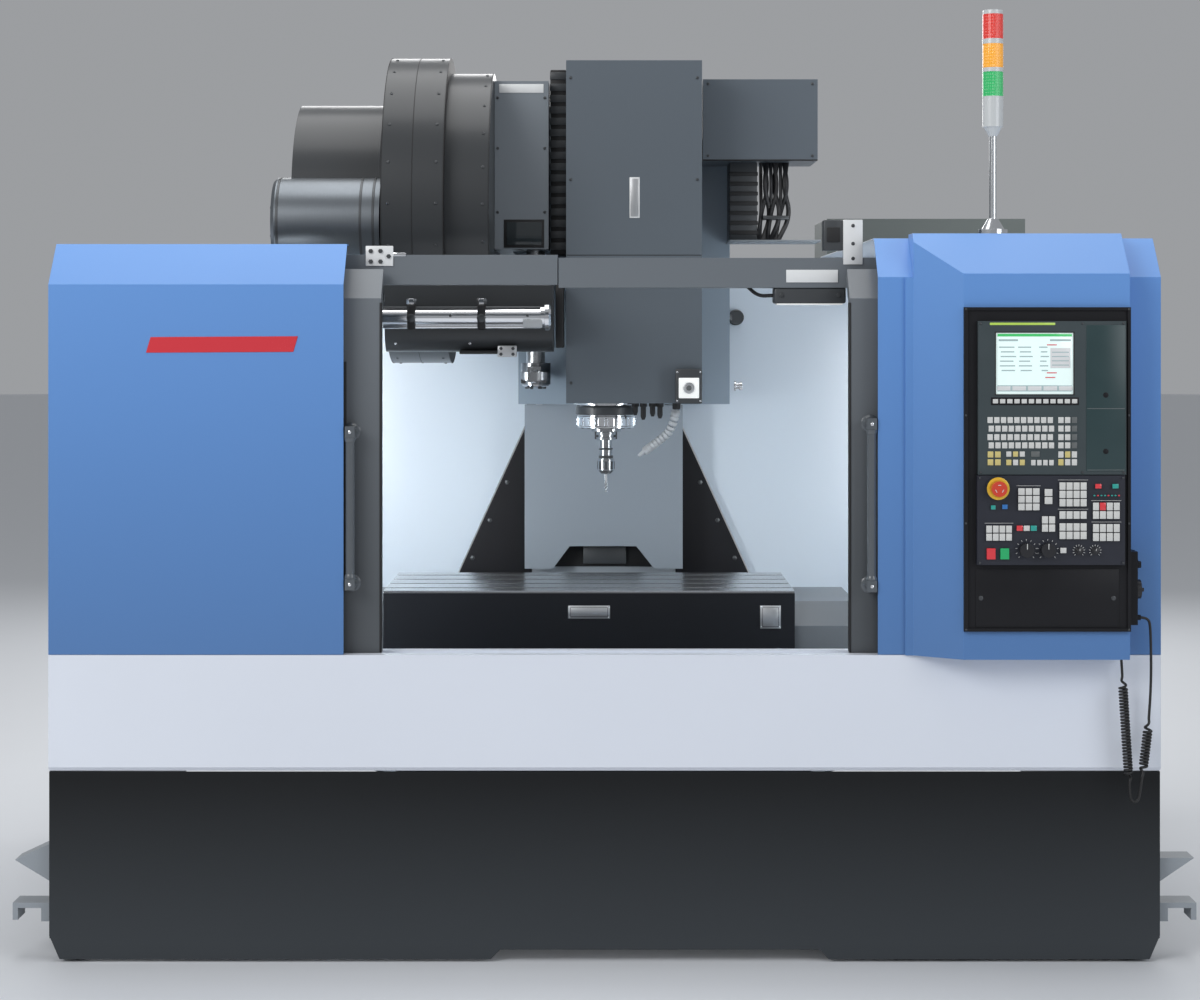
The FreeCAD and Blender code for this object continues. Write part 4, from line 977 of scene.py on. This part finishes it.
def operator_face():
    """The sealed key banks, lamps, dials and small knobs of the machine's own panel."""
    front = Front("operator_panel")
    keys = Piece("operator_keys")
    for across, up, columns, rows in (
        ((21, 89), (62, 103), 4, 2), ((103, 160), (140, 199), 3, 3), ((171, 193), (156, 197), 1, 2),
        ((164, 200), (85, 127), 2, 2), ((209, 281), (150, 214), 4, 3), ((209, 281), (118, 140), 4, 1),
        ((209, 281), (66, 109), 4, 2), ((295, 366), (61, 107), 4, 2), ((211, 229), (30, 46), 1, 1),
    ):
        key_bank(keys, front, across, up, columns, rows)
    key_bank(keys, front, (295, 366), (118, 162), 4, 2, odd=[(1, 1, "key_red")])
    key_bank(keys, front, (99, 153), (87, 103), 3, 1, odd=[(0, 0, "key_red"), (2, 0, "key_teal")])
    for across, up, finish in (
        ((33, 47), (142, 155), "key_teal"), ((62, 78), (143, 157), "key_blue"),
        ((301, 319), (196, 210), "key_red"), ((345, 363), (196, 210), "key_teal"),
    ):
        key_bank(keys, front, across, up, 1, 1, finish)
    keys.riding("frame")

    trim = Piece("operator_trim")
    for number in range(8):
        lamp = "key_red" if number % 3 == 1 else "key_teal"
        trim.raised(front, 300 + 9 * number, 179, 4.6, 3.4, 1.2, lamp)
    for left, right, up in (
        (18, 92, 108), (100, 162, 204), (206, 284, 219), (206, 284, 144), (292, 369, 166), (292, 369, 111),
    ):
        trim.raised(front, (left + right) / 2, up, right - left, 0.9, 0.35, "tick_white")
    for across, up, reach in ((125, 39, 26), (180, 39, 26), (260, 37, 14), (302, 37, 14)):
        for number in range(11):
            angle = math.radians(-135 + 27 * number)
            spot = front.at(across + reach * math.sin(angle), up + reach * math.cos(angle), 0.4)
            trim.peg(spot, (0.6, 0.5, 2.2), "tick_white", 0.2, Matrix.Rotation(angle, 3, "Y"))
    for across in (260, 302):
        knob = [(0, 0), (10, 0), (10, 2), (7.5, 3), (7, 13), (5.5, 14), (0, 14)]
        spot = front.at(across, 37)
        trim.turned(spot, FRONT, knob, "knob_black", 32)
        trim.slab(spot, (-0.7, -14.6, 1), (0.7, -13.6, 6.5), "tick_white", 0.2, 1)
    collar = [(21.5, 0), (29, 0), (29, 0.8), (28, 1.2), (22, 1.2), (21.5, 0.8)]
    trim.turned(front.at(52, 197, 5.9), FRONT, collar, "ring_yellow", 48)
    for across in (6, 374):
        for up in (6, 224):
            trim.screw(front.at(across, up), FRONT, 3)
    trim.riding("frame")


def control_marks():
    """The override knobs' pointers and grips, and the turning marks on the emergency stop's cap."""
    for word, node in (("feed_knob", "feed_override_knob"), ("speed_knob", "spindle_override_knob")):
        low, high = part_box(node)
        face = Vector(((low.x + high.x) / 2, low.y, (low.z + high.z) / 2))
        mark = Piece(f"{word}_pointer")
        mark.slab(face, (-1, -0.5, 3), (1, 0.5, (high.z - face.z) / MM - 1), "tick_white", 0.3)
        for angle, out in round_about(18, UP, RIGHT):
            spot = face + REAR * 8 * MM + out * 18 * MM
            mark.peg(spot, (1.3, 6, 0.7), "knob_black", 0.4, Matrix.Rotation(angle, 3, "Y"))
        mark.riding(word)
    low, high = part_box("emergency_stop")
    face = Vector(((low.x + high.x) / 2, low.y, (low.z + high.z) / 2))
    cap = Piece("emergency_stop_marks")
    for angle, out in round_about(3, UP, RIGHT):
        spot = face + out * 10 * MM
        turn = Matrix.Rotation(angle + math.pi / 2, 3, "Y")
        cap.block(spot - mm(0.9, 0.35, 4), spot + mm(0.9, 0.3, 4), "tick_white", 0.2, 1, turn)
    cap.riding("emergency_stop")


def bezel_fittings():
    """Screws and the blank kick panel of the console's black frame."""
    front = Front("console_bezel")
    trim = Piece("bezel_trim")
    for across in (5, front.width - 5):
        for up in (5, front.height / 3, front.height * 2 / 3, front.height - 5):
            trim.screw(front.at(across, up, -0.2), FRONT, 3)
    trim.raised(front, front.width / 2, 86, front.width - 60, 150, -4.5, "console_black", 6.5, 2)
    for across in (44, front.width - 44):
        trim.turned(front.at(across, 86, -4.6), FRONT, stud(6, 1, 4.5, 1.6), "dark_steel", 20)
    trim.riding("frame")


def pendant_details():
    """The dial's ticks and the case's screws on the hand-wheel box."""
    low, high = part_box("pendant")
    wheel_low, wheel_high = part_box("handwheel")
    middle = (wheel_low + wheel_high) / 2
    dial = Vector((wheel_low.x - 1 * MM, middle.y, middle.z))
    trim = Piece("pendant_trim")
    for number, (angle, out) in enumerate(round_about(40, UP, REAR)):
        tall = 2.4 if number % 5 == 0 else 1.4
        turn = Matrix.Rotation(-angle, 3, "X")
        trim.peg(dial + out * 28.5 * MM, (0.6, 0.3, tall), "tick_white", 0.15, turn)
    for y in (low.y + 6 * MM, high.y - 6 * MM):
        for z in (low.z + 6 * MM, high.z - 6 * MM):
            trim.screw((dial.x - 0.2 * MM, y, z), RIGHT, 2.6)
    trim.riding("frame")


# ---------------------------------------------------------------- pendant cord

# The cord's route from the pendant down, round its bend and up into the console: X and Z in millimetres.
CORD_ROUTE = [
    (1393, 911), (1411, 911), (1420, 893), (1421, 690), (1392, 452),
    (1385, 430), (1371, 430), (1364, 452), (1343, 806.8),
]
WIRE = 7 * MM
COIL_REACH = 9.5 * MM
COIL_PITCH = 8.2 * MM
COIL_FADE = 36 * MM
COIL_OPENING = 60 * MM
COIL_FOOT = 470 * MM
TURN_STEPS = 12
PLAIN_STEP = 9 * MM


def nurbs_curve(name, points, steps):
    """A smooth curve of one open spline with these control points."""
    curve = bpy.data.curves.new(name, "CURVE")
    curve.dimensions = "3D"
    curve.resolution_u = steps
    spline = curve.splines.new("NURBS")
    spline.points.add(len(points) - 1)
    for control, spot in zip(spline.points, points):
        control.co = (*spot, 1.0)
    spline.order_u = 3
    spline.use_endpoint_u = True
    made = bpy.data.objects.new(name, curve)
    scene.collection.objects.link(made)
    return made


def route_line(points):
    """Points read from a smooth line through the cord's route, and how far along it each one is."""
    guide = nurbs_curve("cord_route", points, 40)
    curve = guide.data
    bpy.context.view_layer.update()
    mesh = bpy.data.meshes.new_from_object(guide.evaluated_get(bpy.context.evaluated_depsgraph_get()))
    line = [vertex.co.copy() for vertex in mesh.vertices]
    bpy.data.objects.remove(guide)
    bpy.data.curves.remove(curve)
    bpy.data.meshes.remove(mesh)
    reached = [0.0]
    for one, two in zip(line, line[1:]):
        reached.append(reached[-1] + (two - one).length)
    return line, reached


def spot_at(line, reached, distance):
    """The place this far along the line."""
    for number in range(1, len(line)):
        if reached[number] >= distance:
            share = (distance - reached[number - 1]) / max(1e-9, reached[number] - reached[number - 1])
            return line[number - 1].lerp(line[number], share)
    return line[-1].copy()


def stretch(line, reached, low, high, inside):
    """How far along the line a hanging stretch starts and ends: it lies between two heights."""
    found = [along for spot, along in zip(line, reached) if low < spot.z < high and inside(spot)]
    return min(found), max(found)


def pendant_cord():
    """The curly cord: plain at both ends and round its bottom bend, coiled down both hanging stretches."""
    low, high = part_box("pendant")
    depth = (low.y + high.y) / 2
    line, reached = route_line([Vector((x * MM, depth, z * MM)) for x, z in CORD_ROUTE])
    coils = [
        stretch(line, reached, COIL_FOOT + 20 * MM, 655 * MM, lambda spot: spot.x > 1390 * MM),
        stretch(line, reached, COIL_FOOT, 770 * MM, lambda spot: spot.x < 1372 * MM),
    ]
    path, turned, distance, side = [], 0.0, 0.0, UP
    while distance < reached[-1]:
        spot = spot_at(line, reached, distance)
        before, after = (spot_at(line, reached, max(0, distance + step * MM)) for step in (-2, 2))
        ahead = (after - before).normalized()
        lean = side.dot(ahead)
        side = (side - ahead * lean).normalized() if abs(lean) < 0.99 else ahead.orthogonal()
        inside = max(min(distance - start, end - distance) for start, end in coils)
        if inside > 0:
            fade = min(1.0, inside / COIL_FADE)
            reach = COIL_REACH * fade * fade * (3 - 2 * fade)
            spot = spot + (side * math.cos(turned) + ahead.cross(side) * math.sin(turned)) * reach
            turned += 2 * math.pi / TURN_STEPS
            distance += (COIL_PITCH + (1 - fade) * COIL_OPENING) / TURN_STEPS
        else:
            distance += PLAIN_STEP
        path.append(spot)
    cord = nurbs_curve("curly_cord", path + [line[-1]], 2)
    cord.data.bevel_depth = WIRE / 2
    cord.data.bevel_resolution = 3
    cord.data.materials.append(finishes["cord_black"])
    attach(cord, "frame")
    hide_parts("pendant_cord")


# ---------------------------------------------------------------- sides, roof and back


def side_trim():
    """Seams, screws and vent slots on the side panels."""
    for word, side, out in (("left", -1, LEFT), ("right", 1, RIGHT)):
        low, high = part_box(f"{word}_side_panel")
        foot = Vector((low.x if side < 0 else high.x, low.y, low.z))
        long, tall = (high.y - low.y) / MM, (high.z - low.z) / MM
        trim = Piece(f"{word}_panel_trim")
        for share in (0.36, 0.70):
            y = long * share
            trim.slab(foot, (-0.5 * side, y - 1.5, 4), (0.5 * side, y + 1.5, tall - 130), "gasket_black", 0.2)
        for share in (0.03, 0.345, 0.375, 0.685, 0.715, 0.97):
            for up in (40, tall / 2, tall - 170):
                trim.screw(foot + mm(-0.1 * side, long * share, up), out)
        y = long * 0.85
        for number in range(12):
            up = 320 + 24 * number
            trim.slab(foot, (-side, y - 140, up), (2.5 * side, y + 140, up + 9), "gasket_black", 3)
        trim.riding("frame")


def cabinet_trim():
    """The electrical cabinet's fans, isolator switch, lock, blank plates, hinges and glands."""
    shell_low, shell_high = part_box("electrical_cabinet")
    low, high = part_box("cabinet_door")
    face = Vector((low.x, shell_high.y + 23 * MM, low.z))
    tall = (high.z - low.z) / MM
    trim = Piece("cabinet_door_trim")
    for across in (200, 460):
        fan = face + mm(across, 0, tall - 260)
        trim.slab(fan, (-90, -1, -90), (90, 9, 90), "roof_dark", 5, 3)
        for number in range(9):
            up = -75 + 17.5 * number
            trim.slab(fan, (-78, 8, up), (78, 12, up + 9), "gasket_black", 2.4)
    switch = face + mm(160, -0.5, 1120)
    trim.slab(switch, (-45, 0, -45), (45, 5, 45), "ring_yellow", 3)
    trim.turned(switch + REAR * 5 * MM, REAR, stud(34, 8, 30, 12), "roof_dark", 40)
    trim.slab(switch, (-8, 16, -30), (8, 34, 30), "stop_red", 4, 3)
    lock = [(0, 0), (14, 0), (14, 4), (9, 6), (8, 3), (0, 3)]
    trim.turned(face + mm(48, -0.5, 700), REAR, lock, "bright_steel", 32)
    for across in (250, (high.x - low.x) / MM - 140):
        trim.slab(face, (across - 60, -0.6, 1300), (across + 60, 1, 1380), "plate_silver", 1)
    trim.riding("cabinet_door")
    hinges = Piece("cabinet_hinges")
    knuckle = [(0, 0), (8, 0), (9, 2), (9, 42), (7, 43), (7, 47), (9, 48), (9, 88), (8, 90), (0, 90)]
    for z in (shell_low.z + 0.18, (shell_low.z + shell_high.z) / 2, shell_high.z - 0.18):
        hinges.turned(Vector((shell_high.x, face.y, z)) + mm(5, 4, -45), UP, knuckle, "dark_steel", 24)
    gland = [(0, 0), (18, 0), (18, 8), (14, 9), (14, 28), (10, 30), (0, 30)]
    for number in range(5):
        spot = shell_low + mm(100 + 110 * number, 180, 0.5)
        hinges.turned(spot, DOWN, gland, "gasket_black", 24)
    hinges.riding("frame")


def column_back():
    """The back of the column: a ribbed cover plate and eye bolts on top."""
    low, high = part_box("column")
    foot = Vector(((low.x + high.x) / 2, high.y, low.z))
    tall = (high.z - low.z) / MM
    cover = Piece("column_back_cover")
    cover.slab(foot, (-175, -1, 200), (175, 4, tall - 100), "casting_paint", 1.5)
    for number in range(7):
        up = 300 + 200 * number
        cover.slab(foot, (-140, 3, up), (140, 12, up + 30), "casting_paint", 6, 3)
    for number in range(8):
        for across in (-160, 160):
            cover.screw(foot + mm(across, 3.8, 230 + 205 * number), REAR, 5.5)
    cover.riding("frame")
    eyes = Piece("lifting_eyes")
    shank = [(0, 0), (22, 0), (22, 8), (12, 12), (9, 24), (0, 24)]
    for across in (-180, 180):
        spot = foot + mm(across, -90, tall)
        eyes.turned(spot + DOWN * 0.5 * MM, UP, shank, "dark_steel", 28)
        turns = [math.radians(-90 + 30 * number) for number in range(13)]
        ring = [spot + mm(24 * math.cos(a), 0, 42 + 24 * math.sin(a)) for a in turns]
        eyes.tube(ring, 7, "dark_steel", 12, 0)
    eyes.riding("frame")


def roof_trim():
    """Screws along the edges of the flat roof panels."""
    for node, side in (("left_side_panel", -1), ("right_side_panel", 1)):
        low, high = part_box(node)
        inner, outer = (high.x, low.x) if side < 0 else (low.x, high.x)
        seam = Piece(f"{node}_roof_screws")
        for number in range(7):
            y = low.y + 0.16 + number * 0.225
            for share in (0.06, 0.94):
                if y < high.y - 50 * MM:
                    seam.screw((inner + (outer - inner) * share, y, high.z - 0.1 * MM), UP)
        seam.riding("frame")


for make in (
    cover_badge, door_gaskets, door_windows, lintel_fittings, head_fittings, spindle_nose, cutter_details,
    side_box_gear, guard_details, table_plates, magazine_fittings, magazine_trim, gripper_details,
    display_face, operator_face, control_marks, bezel_fittings, pendant_details, pendant_cord, side_trim,
    cabinet_trim, column_back, roof_trim,
):
    make()


# ---------------------------------------------------------------- camera, light and floor

EYE = Vector((-0.012, -7.368, 1.650))
LENS = 72.6
FALL = -0.139
PALE = (0.72, 0.74, 0.77)
SKY_STRENGTH = 0.46
FLOOR_REACH = 60.0
FLOOR_SIDES = 96


def set_camera():
    data = bpy.data.cameras.new("camera")
    data.lens = LENS
    data.sensor_width = 36.0
    data.shift_y = FALL
    data.dof.use_dof = False
    camera = bpy.data.objects.new("camera", data)
    camera.location = EYE
    camera.rotation_euler = (math.pi / 2, 0, 0)
    scene.collection.objects.link(camera)
    scene.camera = camera


def soft_box(name, place, aim, size, power, color=(1, 1, 1), spread=180):
    data = bpy.data.lights.new(name, "AREA")
    data.shape = "RECTANGLE"
    data.size, data.size_y = size
    data.energy = power
    data.color = color
    data.spread = math.radians(spread)
    light = bpy.data.objects.new(name, data)
    light.location = place
    light.rotation_euler = (Vector(aim) - Vector(place)).to_track_quat("-Z", "Y").to_euler()
    light.visible_camera = False
    scene.collection.objects.link(light)


def light_studio():
    soft_box("key_light", (-4.2, -5.6, 4.6), (-0.2, -1.0, 1.1), (4.0, 3.0), 215)
    soft_box("fill_light", (4.8, -5.2, 3.2), (0.2, -1.0, 1.1), (3.5, 3.0), 92, (0.93, 0.96, 1.0))
    soft_box("top_light", (0.0, 0.2, 5.6), (0.0, 0.2, 0.0), (5.0, 4.0), 150)
    soft_box("rear_light", (0.5, 6.5, 4.0), (0.0, 0.8, 1.2), (5.0, 3.0), 170)
    low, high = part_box("splash_walls")
    for side, word, power in ((-1, "left", 7), (1, "right", 3.4)):
        place = (side * high.x * 0.86, low.y + 0.10, high.z - 0.55)
        aim = (side * high.x * 0.40, high.y, low.z + 0.62)
        soft_box(f"work_light_{word}", place, aim, (0.25, 0.8), power, (0.93, 0.97, 1.0), 120)
    world = bpy.data.worlds.new("studio")
    world.use_nodes = True
    back = next(n for n in world.node_tree.nodes if n.type == "BACKGROUND")
    back.inputs["Color"].default_value = (*PALE, 1.0)
    back.inputs["Strength"].default_value = SKY_STRENGTH
    scene.world = world


def lay_floor():
    """A wide round floor that meets the pale studio far behind the machine."""
    mesh = bpy.data.meshes.new("studio_floor")
    corners = [out * FLOOR_REACH for _, out in round_about(FLOOR_SIDES, RIGHT, REAR)]
    mesh.from_pydata(corners, [], [range(FLOOR_SIDES)])
    floor = bpy.data.objects.new("studio_floor", mesh)
    scene.collection.objects.link(floor)
    finish = Finish("studio_paper", PALE)
    grain = finish.noise(7, 3.0)
    mesh.materials.append(finish.surface(
        Base_Color=finish.mix(grain * 0.2, finish.shade(1.0), finish.shade(0.93)),
        Roughness=0.62,
    ))


scene.view_settings.view_transform = "Standard"
set_camera()
light_studio()
lay_floor()
